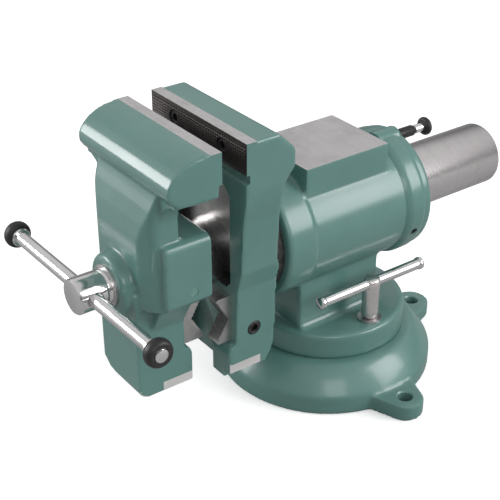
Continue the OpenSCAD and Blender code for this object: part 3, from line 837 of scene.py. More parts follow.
class Finishes:
    """Every finish of the vise, by the maker's name for it."""

    def __init__(self, fx: Effects) -> None:
        """Builds the materials.

        Args:
            fx: the shared effects.
        """
        self.enamel = Enamel().build(fx)
        self.touched_up = Enamel("enamel_on_insert", worn=0.0).build(fx)
        self.ground = Steel("ground_face", (0.72, 0.70, 0.70), (0.64, 0.62, 0.62),
                            (40.0, 900.0, 900.0), (0.36, 0.5)).build(fx)
        self.tube = Steel("ground_tube", (0.70, 0.67, 0.675), (0.67, 0.64, 0.645),
                          (30.0, 700.0, 30.0), (0.26, 0.28), 0.003, 0.10).build(fx)
        self.bare_edge = DullCoat("bare_edge", (0.50, 0.49, 0.485), (0.70, 0.69, 0.68),
                                  (0.35, 0.5), 0.15).build(fx)
        self.machined = Steel("machined_steel", (0.60, 0.585, 0.58), (0.47, 0.46, 0.455),
                              (500.0, 500.0, 90.0), (0.30, 0.45)).build(fx)
        self.plate = Steel("bright_plate", (0.80, 0.79, 0.79), (0.72, 0.71, 0.71),
                           (120.0, 120.0, 120.0), (0.07, 0.15), 0.006, 0.08).build(fx)
        self.stud = Steel("plated_stud", (0.84, 0.80, 0.80), (0.76, 0.72, 0.72),
                          (200.0, 200.0, 600.0), (0.24, 0.34), 0.01, 0.2).build(fx)
        self.black = DullCoat("black_oxide", (0.022, 0.021, 0.022), (0.16, 0.155, 0.15),
                              (0.38, 0.52), 0.5).build(fx)
        # Near-black coat: painted shade for the fixed jaw's front pocket and the body's seam
        # groove.
        self.iron = DullCoat("painted_shade_black", (0.020, 0.022, 0.021), (0.07, 0.07, 0.068),
                             (0.6, 0.75), 0.2, 500.0).build(fx)
        self.grip = DullCoat("hardened_grip", (0.050, 0.043, 0.042), (0.20, 0.19, 0.185),
                             (0.36, 0.5), 0.7).build(fx)
        self.rubber = DullCoat("moulded_rubber", (0.012, 0.012, 0.012), (0.05, 0.05, 0.05),
                               (0.42, 0.58)).build(fx)
        self.bronze = Steel("cast_bronze", (0.60, 0.42, 0.20), (0.46, 0.31, 0.14),
                            (300.0, 300.0, 300.0), (0.35, 0.5)).build(fx)


# ---------------------------------------------------------------- datum
@dataclass(frozen=True)
class Datum:
    """Heights and stations that several sub-assemblies share, in millimetres.

    body_rear is the rear of the whole swivel body, which is the rim of its disc. The barrel
    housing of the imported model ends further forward, so the housing built from it is too long.
    """

    axis_h: float
    tube_r: float
    jaw_top: float
    jaw_hw: float
    insert_t: float
    insert_h: float
    fixed_face: float
    movable_face: float
    barrel_r: float
    ring_r: float
    body_front: float
    body_rear: float

    @classmethod
    def from_frame(cls) -> "Datum":
        """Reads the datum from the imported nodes.

        Returns:
            The datum.
        """
        tube_low, tube_high = box_mm("guide_tube")
        fixed_low, fixed_high = box_mm("fixed_insert")
        movable_high = box_mm("movable_insert")[1]
        body_high = box_mm("swivel_body")[1]
        thrust_high = box_mm("thrust_ring")[1]
        tube_r = (tube_high.x - tube_low.x) / 2
        return cls(
            axis_h=(tube_low.z + tube_high.z) / 2, tube_r=tube_r, jaw_top=fixed_high.z,
            jaw_hw=fixed_high.x, insert_t=fixed_high.y - fixed_low.y,
            insert_h=fixed_high.z - fixed_low.z, fixed_face=fixed_low.y,
            movable_face=movable_high.y, barrel_r=thrust_high.x - 8.0,
            ring_r=thrust_high.x + 8.0, body_front=thrust_high.y + 0.2,
            body_rear=body_high.y)


def on_axis(datum: Datum, y: float) -> Triple:
    """Point of the screw axis at a station."""
    return (0.0, y, datum.axis_h)


def along_y(name: str, r: float, y0: float, y1: float, x: float, z: float,
            sides: int = 64) -> bpy.types.Object:
    """Round bar along Y between two stations, in millimetres."""
    return rod(name, r, (x, y0, z), (x, y1, z), sides)


def along_x(name: str, r: float, x0: float, x1: float, y: float, z: float,
            sides: int = 48) -> bpy.types.Object:
    """Round bar along X between two stations, in millimetres."""
    return rod(name, r, (x0, y, z), (x1, y, z), sides)


# ---------------------------------------------------------------- base and body
@dataclass
class BaseCasting:
    """Round base with a bulged skirt and three bolt lugs."""

    datum: Datum
    finishes: Finishes
    seat_r: float = 82.0
    skirt_h: float = 18.0
    round_share: float = 0.4
    rim_w: float = 11.0
    lip: float = 10.0
    bore_r: float = 70.0
    cavity_r: float = 79.0
    lug_r: float = 120.0
    lug_tip_r: float = 18.0
    lug_t: float = 16.0
    hole_r: float = 7.0
    root_r: float = 100.0
    root_hw: float = 26.0
    angles: tuple[float, ...] = (0.0, 90.0, 180.0)

    def _skirt(self) -> bpy.types.Object:
        """Turned shell of the base.

        Returns:
            The modelled solid.
        """
        low, high = box_mm("base_casting")
        flange_r, height = -low.y, high.z
        inner = flange_r - self.rim_w
        bulge = [(self.seat_r + (flange_r - self.seat_r)
                  * (self.round_share * math.cos(a) + (1 - self.round_share) * (1 - math.sin(a))),
                  self.skirt_h + (height - self.skirt_h) * math.sin(a))
                 for a in (math.radians(6 * i) for i in range(16))]
        profile = [(inner, 0), (flange_r - 1.0, 0), (flange_r, 1.0)] + bulge + [
            (self.bore_r, height), (self.bore_r, height - self.lip),
            (self.cavity_r, height - self.lip), (inner - 8, height - self.lip - 5),
            (inner - 1, self.skirt_h)]
        return turned("base", profile, (0, 0, 0), Axis.Z, 128)

    def _lug(self, angle: float) -> bpy.types.Object:
        """One bolt lug at an angle, in degrees.

        Args:
            angle: where the lug stands, in degrees.

        Returns:
            The modelled solid.
        """
        turn = math.radians(angle)
        shape = arc(self.lug_r, 0, self.lug_tip_r - 0.2, -78, 78, 14) + [
            (self.root_r, self.root_hw), (self.root_r, -self.root_hw)]
        outline = [(a * math.cos(turn) - b * math.sin(turn),
                    a * math.sin(turn) + b * math.cos(turn)) for a, b in shape]
        return prism("lug", Plane.PLAN, outline, 0, self.lug_t)

    def build(self) -> None:
        """Models the base and hangs it on the frame."""
        obj = cast("base", [self._skirt()] + [self._lug(a) for a in self.angles], 1.7, 5)
        for angle in self.angles:
            x = self.lug_r * math.cos(math.radians(angle))
            y = self.lug_r * math.sin(math.radians(angle))
            cut(obj, rod("drill", self.hole_r, (x, y, -5), (x, y, 40), 48),
                turned("countersink", [(0, self.lug_t - 1.2), (self.hole_r, self.lug_t - 1.2),
                                       (self.hole_r + 1.4, self.lug_t + 0.2),
                                       (0, self.lug_t + 0.2)], (x, y, 0), Axis.Z, 48))
        coat(obj, self.finishes.enamel)
        face_material(obj, self.finishes.ground, lambda c, n: c.z < 0.05 and n.z < -0.9)
        hand_over(obj, "base", ["base_casting"])


@dataclass
class SwivelBody:
    """Swivel disc, pedestal, barrel housing and anvil in one casting."""

    datum: Datum
    finishes: Finishes
    disc_r: float = 77.0
    disc_low: float = 44.3
    disc_top: float = 70.0
    spigot_r: float = 69.95
    spigot_low: float = 36.0
    spigot_bore: float = 42.0
    housing_r: float = 58.05
    front_band: float = 32.0
    rear_band: float = 16.0
    groove: float = 2.6
    pedestal_hw: float = 36.0
    pedestal_y: Pair = (-61.0, 34.0)
    foot_r: float = 8.0
    anvil_hw: float = 40.0
    anvil_y: Pair = (-60.0, 35.0)
    anvil_top: float = 236.0
    lock_x: float = 60.0
    lock_y: float = 5.0
    lock_hole_r: float = 6.3
    index_count: int = 12
    index_r: float = 3.15
    index_depth: float = 9.0

    def _disc(self) -> bpy.types.Object:
        """Swivel disc with its spigot.

        Returns:
            The modelled solid.
        """
        return turned("disc", [
            (0, self.disc_top - 16), (self.spigot_bore, self.disc_top - 16),
            (self.spigot_bore, self.spigot_low), (self.spigot_r, self.spigot_low),
            (self.spigot_r, self.disc_low), (self.disc_r, self.disc_low),
            (self.disc_r, self.disc_top - 4), (self.disc_r - 1.2, self.disc_top - 1.2),
            (self.disc_r - 4, self.disc_top), (0, self.disc_top)], (0, 0, 0), Axis.Z, 128)

    def _housing(self) -> bpy.types.Object:
        """Housing round the barrel, with a raised band at each end.

        Returns:
            The modelled solid.
        """
        front, rear = self.datum.body_front, self.datum.body_rear
        r, ring = self.housing_r, self.datum.ring_r
        inner, seam = self.datum.barrel_r - 4, rear - self.rear_band
        return turned("housing", [
            (inner, front), (ring - 3.0, front), (ring - 0.9, front + 0.9),
            (ring, front + 3.0), (ring, front + self.front_band - 2), (r, front + self.front_band),
            (r, seam - self.groove - 1), (ring, seam + 0.5), (ring, rear - 2.5), (r, rear),
            (inner, rear)], on_axis(self.datum, 0), Axis.Y, 128)

    def _pedestal(self) -> list[bpy.types.Object]:
        """Pedestal and the fillet at its foot.

        Returns:
            The modelled solids.
        """
        hw, (front, rear) = self.pedestal_hw, self.pedestal_y
        flare = [(hw, self.disc_top + self.foot_r)] + arc(
            hw + self.foot_r, self.disc_top + self.foot_r, self.foot_r, 180, 270, 6)
        half = [(hw + self.foot_r, self.disc_top - 4)] + flare[::-1]
        return [
            block("pedestal", (-hw, front, self.disc_top - 4), (hw, rear, self.datum.axis_h - 20)),
            prism("foot", Plane.FRONT, mirrored(half), front, rear)]

    def build(self) -> None:
        """Models the body and hangs it on the frame."""
        low, high = self.anvil_y
        anvil = block("anvil", (-self.anvil_hw, low, self.datum.axis_h + 15),
                      (self.anvil_hw, high, self.anvil_top + 1.5))
        obj = cast("swivel_housing", [self._disc(), self._housing(), anvil] + self._pedestal(),
                   1.8, 4)
        y0, y1 = self.datum.body_front - 5, self.datum.body_rear + 5
        axis_h, rear = self.datum.axis_h, self.datum.body_rear
        cut(obj, along_y("bore", self.datum.barrel_r + 0.05, y0, y1, 0, axis_h, 96),
            block("anvil_cutter", (-60, -80, self.anvil_top), (60, 60, self.anvil_top + 20)),
            block("core", (-26, self.pedestal_y[0] + 13, self.disc_top - 18),
                  (26, self.pedestal_y[1] - 13, axis_h - self.housing_r - 2)))
        seam = rear - self.rear_band
        floor_r = self.housing_r - 1.6
        cut(obj, turned("seam", [(floor_r, seam - self.groove),
                                 (floor_r + 14, seam - self.groove - 1.5),
                                 (floor_r + 14, seam + 1.0), (floor_r, seam)],
                        on_axis(self.datum, 0), Axis.Y, 128))
        for side in Side:
            x = side.value * self.lock_x
            cut(obj, rod("lock_drill", self.lock_hole_r, (x, self.lock_y, 20),
                         (x, self.lock_y, self.disc_top + 2), 48))
        self._index_holes(obj)
        coat(obj, self.finishes.enamel)
        top, ring = self.anvil_top, self.datum.ring_r
        face_material(obj, self.finishes.ground, lambda c, n: c.z > top - 0.05 and n.z > 0.9)
        bore = self.datum.barrel_r + 0.3
        # The seam groove's faces go near-black: painted shade in the groove.
        face_material(obj, self.finishes.iron, lambda c, n: (
            seam - self.groove - 0.2 < c.y < seam + 0.2
            and math.hypot(c.x, c.z - axis_h) < floor_r + 0.9 and c.z > axis_h - 59))
        face_material(obj, self.finishes.machined, lambda c, n: (
            math.hypot(c.x, c.z - axis_h) < bore
            or (c.y > rear - 0.05 and n.y > 0.9 and math.hypot(c.x, c.z - axis_h) < ring)))
        hand_over(obj, "swivel_body", ["swivel_body"])

    def _index_holes(self, obj: bpy.types.Object) -> None:
        """Ring of holes that the head plunger drops into.

        Args:
            obj: the object to work on.
        """
        low, high = box_mm("plunger_pin")
        x, z = (low.x + high.x) / 2, (low.z + high.z) / 2 - self.datum.axis_h
        start, r = math.atan2(z, x), math.hypot(x, z)
        rear = self.datum.body_rear
        turns = [start + math.tau * i / self.index_count for i in range(self.index_count)]
        cut(obj, joined("index_drills", [
            along_y("index_drill", self.index_r, rear - self.index_depth, rear + 3,
                    r * math.cos(a), self.datum.axis_h + r * math.sin(a), 24) for a in turns]))


@dataclass
class SwivelLock:
    """Lock screw with its sliding bar, on one side of the swivel disc."""

    side: Side
    finishes: Finishes
    bar_swell: float = 0.9
    tip: float = 7.0

    def _stud(self) -> bpy.types.Object:
        """Turned stud with a rounded foot and a cross hole.

        Returns:
            The modelled solid.
        """
        low, high = box_mm(f"{self.side.label}_lock_screw")
        bar_low, bar_high = box_mm(f"{self.side.label}_lock_bar")
        x, y = (low.x + high.x) / 2, (low.y + high.y) / 2
        bar_z, thread_r = (bar_low.z + bar_high.z) / 2, 6.0
        r, collar = (high.x - low.x) / 2, box_mm("lock_washers")[1].z
        profile = [(0, low.z), (thread_r - 1, low.z), (thread_r, low.z + 1), (thread_r, collar),
                   (r - 3.0, collar), (r - 1.4, collar + 1.0), (r - 0.5, collar + 2.6),
                   (r - 0.1, collar + 5.0), (r, collar + 8.0), (r - 0.5, collar + 16.0),
                   (r - 0.4, bar_z - 8), (r - 0.1, bar_z), (r - 0.3, high.z - 2.2),
                   (r - 1.3, high.z - 0.8), (r - 3.2, high.z), (0, high.z)]
        stud = turned("stud", profile, (x, y, 0), Axis.Z, 48)
        bar_r = min(bar_high.z - bar_low.z, bar_high.x - bar_low.x) / 2 - self.bar_swell
        cut(stud, along_y("cross_drill", bar_r + 0.05, y - 20, y + 20, x, bar_z, 48))
        return stud

    def _bar(self) -> bpy.types.Object:
        """Bar whose ends are swaged so that it can't slip out.

        Returns:
            The modelled solid.
        """
        low, high = box_mm(f"{self.side.label}_lock_bar")
        x, z = (low.x + high.x) / 2, (low.z + high.z) / 2
        big = (high.x - low.x) / 2
        r = big - self.bar_swell
        half = [(0, high.y), (big - 1.6, high.y), (big - 0.4, high.y - 0.8), (big, high.y - 2.0),
                (big, high.y - 4.4), (r + 0.3, high.y - 5.6), (r, high.y - self.tip)]
        other = [(a, high.y + low.y - t) for a, t in reversed(half)]
        return turned("bar", half + other, (x, 0, z), Axis.Y, 32)

    def build(self) -> None:
        """Models both pieces and hangs them on the frame."""
        label = self.side.label
        for obj, part, body, finish in (
                (self._stud(), "lock_screw", "lock", self.finishes.stud),
                (self._bar(), "lock_bar", "bar", self.finishes.plate)):
            obj.name = f"{label}_{part}_turned"
            obj.data.name = obj.name
            coat(obj, finish)
            hand_over(obj, f"{label}_{body}", [f"{label}_{part}"])


# ---------------------------------------------------------------- screws
@dataclass(frozen=True)
class SocketScrew:
    """Socket head screw; its station 0 is the outer face of the head."""

    head_r: float
    head_l: float
    shank_r: float
    length: float
    hex_r: float = 3.95
    hex_depth: float = 3.5

    def model(self, name: str, centre: Triple, axis: Axis, into: int) -> bpy.types.Object:
        """Models one screw.

        Args:
            name: name of the screw.
            centre: middle of the head's outer face, in millimetres.
            axis: direction of the screw.
            into: 1 where the screw points along the axis, -1 where it points back.

        Returns:
            The screw.
        """
        r, edge = self.head_r, min(0.8, self.head_r / 6)
        profile = [(0, 0), (r - edge, 0), (r, edge), (r, self.head_l)]
        if self.shank_r < r:
            profile += [(self.shank_r, self.head_l)]
        profile += [(self.shank_r, self.length - 0.8), (self.shank_r - 0.8, self.length),
                    (0, self.length)]
        screw = turned(name, [(a, into * t) for a, t in profile], centre, axis, 32)
        along = Vector(axis.value) * into
        start = Vector(centre) - along
        cut(screw, rod("hex_key", self.hex_r, tuple(start),
                       tuple(start + along * (self.hex_depth + 1)), 6))
        return screw


@dataclass
class ScrewSet:
    """The socket screws of one CAD node, modelled again with real sockets."""

    node: str
    body: str
    screw: SocketScrew
    heads: tuple[Triple, ...]
    axis: Axis
    into: tuple[int, ...]
    finishes: Finishes

    def build(self) -> None:
        """Models the screws as one piece and hangs it on the frame."""
        parts = [self.screw.model(self.node, head, self.axis, into)
                 for head, into in zip(self.heads, self.into)]
        obj = joined(f"{self.node}_socket", parts)
        coat(obj, self.finishes.black)
        hand_over(obj, self.body, [self.node], 30)


# ---------------------------------------------------------------- revolving head
@dataclass
class FixedJaw:
    """Fixed jaw with its barrel, cast in one."""

    datum: Datum
    finishes: Finishes
    face_step: float = 0.5
    back_step: float = 42.5
    foot_hw: float = 54.0
    pad_hw: float = 44.0
    pad_h: float = 8.0
    strip_h: float = 9.0
    strip_rear: float = 27.0
    toe: float = 7.5
    bottom: float = 60.0
    head_h: float = 39.0
    relief: float = 3.5
    pocket_hw: float = 46.0
    pocket_d: float = 15.0
    plate_x: Pair = (31.5, 46.0)
    plate_depth: float = 26.0
    screw_y: float = 19.0

    def _front(self) -> list[Pair]:
        """Outline seen from the front, as x and z.

        Returns:
            The points of the outline.
        """
        d, foot = self.datum, self.foot_hw
        half = [(foot, self.bottom - 4), (foot, d.axis_h - 72), (foot + 2.5, d.axis_h - 14),
                (foot + 8.6, d.axis_h + 6), (d.jaw_hw - 4.4, d.axis_h + 55),
                (d.jaw_hw - 1.2, d.axis_h + 72), (d.jaw_hw, d.axis_h + 84),
                (d.jaw_hw, d.jaw_top + 1)]
        return mirrored(half)

    def _stations(self) -> Pair:
        """Front and back of the jaw along the screw axis."""
        return self.datum.fixed_face + self.face_step, self.datum.fixed_face + self.back_step

    def _side(self) -> list[Pair]:
        """Outline seen from the side, as y and z.

        Returns:
            The points of the outline.
        """
        d = self.datum
        (front, back), top = self._stations(), d.jaw_top
        neck, pipe_low = back - 4, box_mm("fixed_pipe_jaw")[0].z
        return ([(front, top), (back - 9, top)]
                + arc(back + 4.0, top - 18, 4.0, 30, 0, 3)
                + [(back + 8, top - 31)] + arc(back + 5, top - 32, 3, 0, -60, 3)
                + [(back + 1, top - self.head_h - 2), (neck + 1.2, top - 48), (neck, top - 58),
                   (neck, d.axis_h + 10), (back, d.axis_h), (back, self.bottom + 26),
                   (back - 3, self.bottom + 16), (back - 9, self.bottom + self.pad_h),
                   (back - 9, self.bottom), (front - self.toe, self.bottom),
                   (front - self.toe, pipe_low - 9), (front - self.toe + 2, pipe_low - 4),
                   (front, pipe_low - 1)])

    def build(self) -> None:
        """Models the jaw and hangs it on the frame."""
        d = self.datum
        front, back = self._stations()
        body = prism("fixed_jaw_casting", Plane.FRONT, self._front(), front - self.toe - 1,
                     back + 10)
        combine(body, prism("side", Plane.SIDE, self._side(), -d.jaw_hw - 5, d.jaw_hw + 5),
                "INTERSECT")
        shoulder = along_y("shoulder", d.ring_r - 8, back - 12, back, 0, d.axis_h, 96)
        obj = cast("fixed_jaw_casting", [body, shoulder], 1.6, 4)
        rear = box_mm("fixed_jaw")[1].y
        combine(obj, turned("barrel", [
            (0, back - 8), (d.barrel_r, back - 8), (d.barrel_r, rear - 1.2),
            (d.barrel_r - 1.2, rear), (0, rear)], on_axis(d, 0), Axis.Y, 96), "UNION")
        self._machine(obj)
        self._dress(obj)
        hand_over(obj, "head", ["fixed_jaw"])

    def _machine(self, obj: bpy.types.Object) -> None:
        """Machined seats, bore, slots and drilled holes.

        Args:
            obj: the object to work on.
        """
        d = self.datum
        front, rear = d.fixed_face + 0.5, box_mm("fixed_jaw")[1].y
        seat_low = d.jaw_top - d.insert_h
        low, high = box_mm("fixed_pipe_jaw")
        cut(obj, along_y("bore", d.tube_r + 0.05, front - 20, rear + 5, 0, d.axis_h, 96),
            block("top_cutter", (-90, front - 20, d.jaw_top), (90, rear, d.jaw_top + 20)),
            block("seat_cutter", (-90, front - 20, seat_low),
                  (90, front + d.insert_t - 0.5, d.jaw_top + 20)),
            prism("relief", Plane.SIDE, [
                (front - 9, seat_low + 1), (front - 9, seat_low - 9), (front, seat_low - 9),
                (front + self.relief, seat_low - 7.5), (front + self.relief, seat_low + 1)],
                -90, 90))
        for side in Side:
            x0, x1 = (side.value * x for x in self.plate_x)
            cut(obj, block("plate_slot",
                           (min(x0, x1) - 0.1, front - self.toe - 5, low.z - 0.1),
                           (max(x0, x1) + 0.1, front + self.plate_depth + 0.1, high.z + 0.1)),
                block("pad_cutter", (min(side.value * self.pad_hw, side.value * 80),
                                     front - 20, self.bottom - 9),
                      (max(side.value * self.pad_hw, side.value * 80), rear,
                       self.bottom + self.pad_h)),
                block("strip_cutter", (min(side.value * (self.foot_hw - 0.5), side.value * 80),
                                       front - 20, self.bottom - 9),
                      (max(side.value * (self.foot_hw - 0.5), side.value * 80),
                       front + self.strip_rear, self.bottom + self.pad_h + self.strip_h)),
                along_x("counterbore", 7.2, side.value * (self.foot_hw - 4.5), side.value * 80,
                        front + self.screw_y, (low.z + high.z) / 2 - 13))
        z0, z1, hw = high.z + 6.0, d.jaw_top - self.head_h - 9.0, self.pocket_hw
        cut(obj, block("pipe_recess", (-28.5, front - self.toe - 5, self.bottom - 10),
                       (28.5, front + 8, high.z + 1.1)),
            prism("front_pocket", Plane.FRONT,
                  mirrored([(hw - 6, z0), (hw, z0 + 6), (hw, z1 - 8), (hw - 8, z1)]),
                  front - 20, front + self.pocket_d),
            block("key_slot", (-7.05, -20.05, d.axis_h - 41), (7.05, 20.05, d.axis_h)))
        cut(obj, block("sole_cutter", (-90, front - 20, self.bottom - 9),
                       (90, rear, self.bottom + 0.25)))

    def _dress(self, obj: bpy.types.Object) -> None:
        """Enamel all over, bare steel where a tool has been, and near-black painted shade in the
        front pocket.

        Args:
            obj: the object to work on.
        """
        d, fin = self.datum, self.finishes
        bore, barrel = d.tube_r + 0.3, d.barrel_r - 0.4
        strip, strip_top = self.foot_hw - 0.3, self.bottom + self.pad_h + self.strip_h
        front, back = self._stations()
        hw, floor_y = self.pocket_hw + 0.1, front + self.pocket_d + 0.1
        coat(obj, fin.enamel)
        face_material(obj, fin.bare_edge, lambda c, n: (
            c.z < strip_top and (abs(n.x) > 0.9 and c.y < front + self.strip_rear
                                 and strip - 0.4 < abs(c.x) < strip
                                 or n.z < -0.9 and c.z < self.bottom + 0.5)))
        # The front pocket's faces go near-black: painted shade.
        face_material(obj, fin.iron, lambda c, n: (
            front + 0.3 < c.y < floor_y and abs(c.x) < hw
            and d.axis_h - 16.5 < c.z < d.jaw_top - self.head_h - 8.9))
        face_material(obj, fin.machined, lambda c, n: (
            math.hypot(c.x, c.z - d.axis_h) < bore
            or (c.y > back + 2 and math.hypot(c.x, c.z - d.axis_h) > barrel
                and c.z < d.axis_h + 60)))


@dataclass
class RearCollar:
    """Collar on the rear of the barrel, with the boss of the head plunger."""

    datum: Datum
    finishes: Finishes
    outer_r: float = 61.35
    boss_r: float = 10.5
    boss_stand: float = 3.5
    bore_r: float = 4.5
    screw_angles: tuple[float, ...] = (200.0, 270.0, 340.0)

    def build(self) -> None:
        """Models the collar and hangs it on the frame."""
        d = self.datum
        low, high = box_mm("rear_collar")
        rear = high.y - self.boss_stand
        front, r = low.y, self.outer_r
        pin_low, pin_high = box_mm("plunger_pin")
        x, z = (pin_low.x + pin_high.x) / 2, (pin_low.z + pin_high.z) / 2
        inner = d.barrel_r - 3
        ring = turned("collar", [
            (inner, front), (r - 4.4, front), (r - 3.3, front + 1.2), (r - 1.2, front + 4.6),
            (r, front + 8), (r, rear - 7), (r - 0.8, rear - 4), (r - 2.6, rear - 1.6),
            (r - 5.5, rear - 0.2), (r - 7, rear), (inner, rear)], on_axis(d, 0), Axis.Y, 128)
        boss = turned("boss", [(0, front + 3), (self.boss_r, front + 3),
                               (self.boss_r, high.y - 1.5), (self.boss_r - 1.5, high.y),
                               (0, high.y)], (x, 0, z), Axis.Y, 64)
        obj = cast("rear_collar_casting", [ring, boss], 1.2, 4)
        cut(obj, along_y("bore", d.barrel_r, front - 5, high.y + 5, 0, d.axis_h, 96),
            along_y("plunger_bore", self.bore_r, front - 5, high.y + 5, x, z, 48))
        middle = (front + rear) / 2
        for angle in self.screw_angles:
            a = math.radians(angle)
            out = Vector((math.cos(a), 0, math.sin(a)))
            centre = Vector(on_axis(d, middle))
            cut(obj, rod("set_drill", 4.0, tuple(centre + out * (d.barrel_r - 2)),
                         tuple(centre + out * 80), 32))
        coat(obj, self.finishes.enamel)
        face_material(obj, self.finishes.machined, lambda c, n: (
            math.hypot(c.x, c.z - d.axis_h) < d.barrel_r + 0.2
            or n.y < -0.95 and c.y < front + 0.3))
        hand_over(obj, "head", ["rear_collar"])


@dataclass
class HeadPlunger:
    """Spring plunger that indexes the head: sleeve, pin and pull knob."""

    finishes: Finishes
    pin_r: float = 3.0
    button_r: float = 4.25
    flange_r: float = 4.6

    def build(self) -> None:
        """Models the three outer pieces and hangs them on the frame."""
        sleeve_low, sleeve_high = box_mm("plunger_sleeve")
        knob_low, knob_high = box_mm("plunger_knob")
        pin_low, pin_high = box_mm("plunger_pin")
        centre = ((pin_low.x + pin_high.x) / 2, 0.0, (pin_low.z + pin_high.z) / 2)
        front, rear, out = sleeve_low.y, sleeve_high.y, (sleeve_high.x - sleeve_low.x) / 2
        stand, bore = rear - 26, self.pin_r + 0.05
        sleeve = turned("plunger_barrel", [
            (bore, front), (4.5, front), (4.5, stand), (out - 0.6, stand), (out, stand + 0.8),
            (out, stand + 5.0), (out - 0.9, stand + 5.8), (out - 0.9, rear - 2.4),
            (out - 2.4, rear), (bore, rear), (bore, rear - 3), (4.9, rear - 3),
            (4.9, stand + 3.5), (bore, stand + 3.5)], centre, Axis.Y, 48)
        knob_r = (knob_high.x - knob_low.x) / 2
        y0, y1 = knob_low.y, knob_high.y
        middle = (y0 + y1) / 2
        ring = [(self.button_r, y0), (self.button_r, y1)] + [
            (knob_r - 3 + 3 * math.cos(a), middle + (y1 - y0) / 2 * math.sin(a))
            for a in (math.radians(90 - 15 * i) for i in range(13))]
        knob = turned("plunger_pull_ring", ring, centre, Axis.Y, 48)
        tip, end = pin_low.y, pin_high.y
        pin = turned("plunger_spindle", [
            (0, tip), (self.pin_r - 1.2, tip), (self.pin_r, tip + 1.6),
            (self.pin_r, stand + 3.9), (self.flange_r, stand + 3.9), (self.flange_r, stand + 5.5),
            (self.pin_r, stand + 5.5), (self.pin_r, rear + 0.5), (self.button_r - 0.5, rear + 0.5),
            (self.button_r, rear + 1.0), (self.button_r, end - 0.8), (self.button_r - 0.8, end),
            (1.2, end), (0, end - 0.8)], centre, Axis.Y, 40)
        for obj, body, slot, node, finish in (
                (sleeve, "head", "black_oxide", "plunger_sleeve", self.finishes.black),
                (knob, "plunger", "black_rubber", "plunger_knob", self.finishes.rubber),
                (pin, "plunger", "bright_plate", "plunger_pin", self.finishes.plate)):
            coat(obj, finish)
            hand_over(obj, body, [node])


# ---------------------------------------------------------------- jaw faces
@dataclass
class JawInsert:
    """Hardened insert with a cut grip, held by two socket screws."""

    node: str
    body: str
    back: int
    datum: Datum
    finishes: Finishes
    pitch: float = 2.5
    tooth: float = 0.55
    screw_x: float = 35.0

    def build(self) -> None:
        """Models the insert and hangs it on the frame."""
        d, (low, high) = self.datum, box_mm(self.node)
        face = low.y if self.back > 0 else high.y
        grip = face + self.back * (self.tooth + 0.1)
        depth = self.back * (d.insert_t - self.tooth - 0.1)
        clear_selection()
        bpy.ops.mesh.primitive_grid_add(
            x_subdivisions=round(2 * d.jaw_hw / self.pitch),
            y_subdivisions=round(d.insert_h / self.pitch), size=1,
            location=Vector((0, grip, (low.z + high.z) / 2)) * MM,
            rotation=(math.pi / 2, 0, 0))
        bpy.context.object.scale = (2 * d.jaw_hw * MM, d.insert_h * MM, 1)
        obj = settle(f"{self.node}_plate")
        bpy.ops.object.mode_set(mode="EDIT")
        bpy.ops.mesh.select_all(action="SELECT")
        bpy.ops.mesh.extrude_region_move(
            TRANSFORM_OT_translate={"value": (0, depth * MM, 0)})
        bpy.ops.mesh.select_all(action="SELECT")
        bpy.ops.mesh.normals_make_consistent(inside=False)
        bpy.ops.object.mode_set(mode="OBJECT")
        self._cut_teeth(obj, grip, low, high)
        for x in (-self.screw_x, self.screw_x):
            z, mid = (low.z + high.z) / 2, self.back
            cut(obj, along_y("counterbore", 7, *sorted((face - 2 * mid, face + 7 * mid)), x, z, 40),
                along_y("screw_drill", 4.25, low.y - 2, high.y + 2, x, z, 32))
        self._dress(obj, face)
        hand_over(obj, self.body, [self.node], 25)

    def _cut_teeth(self, obj: bpy.types.Object, grip: float, low: Vector, high: Vector) -> None:
        """Raises a pyramid on each cell of the gripping face, inside a plain border.

        Args:
            obj: the object to work on.
            grip: size of the gripping face.
            low: start of the range.
            high: end of the range.
        """
        only(obj)
        bpy.context.tool_settings.mesh_select_mode = (False, False, True)
        mesh = obj.data
        for group in (mesh.vertices, mesh.edges):
            group.foreach_set("select", [False] * len(group))
        edge = 1.2 * self.pitch
        mesh.polygons.foreach_set("select", [
            abs(p.center.y / MM - grip) < 0.05 and abs(p.center.x / MM) < high.x - edge
            and low.z + edge < p.center.z / MM < high.z - edge for p in mesh.polygons])
        bpy.ops.object.mode_set(mode="EDIT")
        bpy.ops.mesh.poke(offset=self.tooth * MM, use_relative_offset=False)
        bpy.ops.object.mode_set(mode="OBJECT")

    def _dress(self, obj: bpy.types.Object, face: float) -> None:
        """Dark grip, ground top and painted ends.

        Args:
            obj: the object to work on.
            face: station of the gripping face.
        """
        fin, d = self.finishes, self.datum
        coat(obj, fin.grip)
        face_material(obj, fin.ground, lambda c, n: n.z > 0.9 and c.z > d.jaw_top - 0.1)
        face_material(obj, fin.touched_up,
                      lambda c, n: abs(n.x) > 0.9 and abs(c.x) > d.jaw_hw - 0.1)


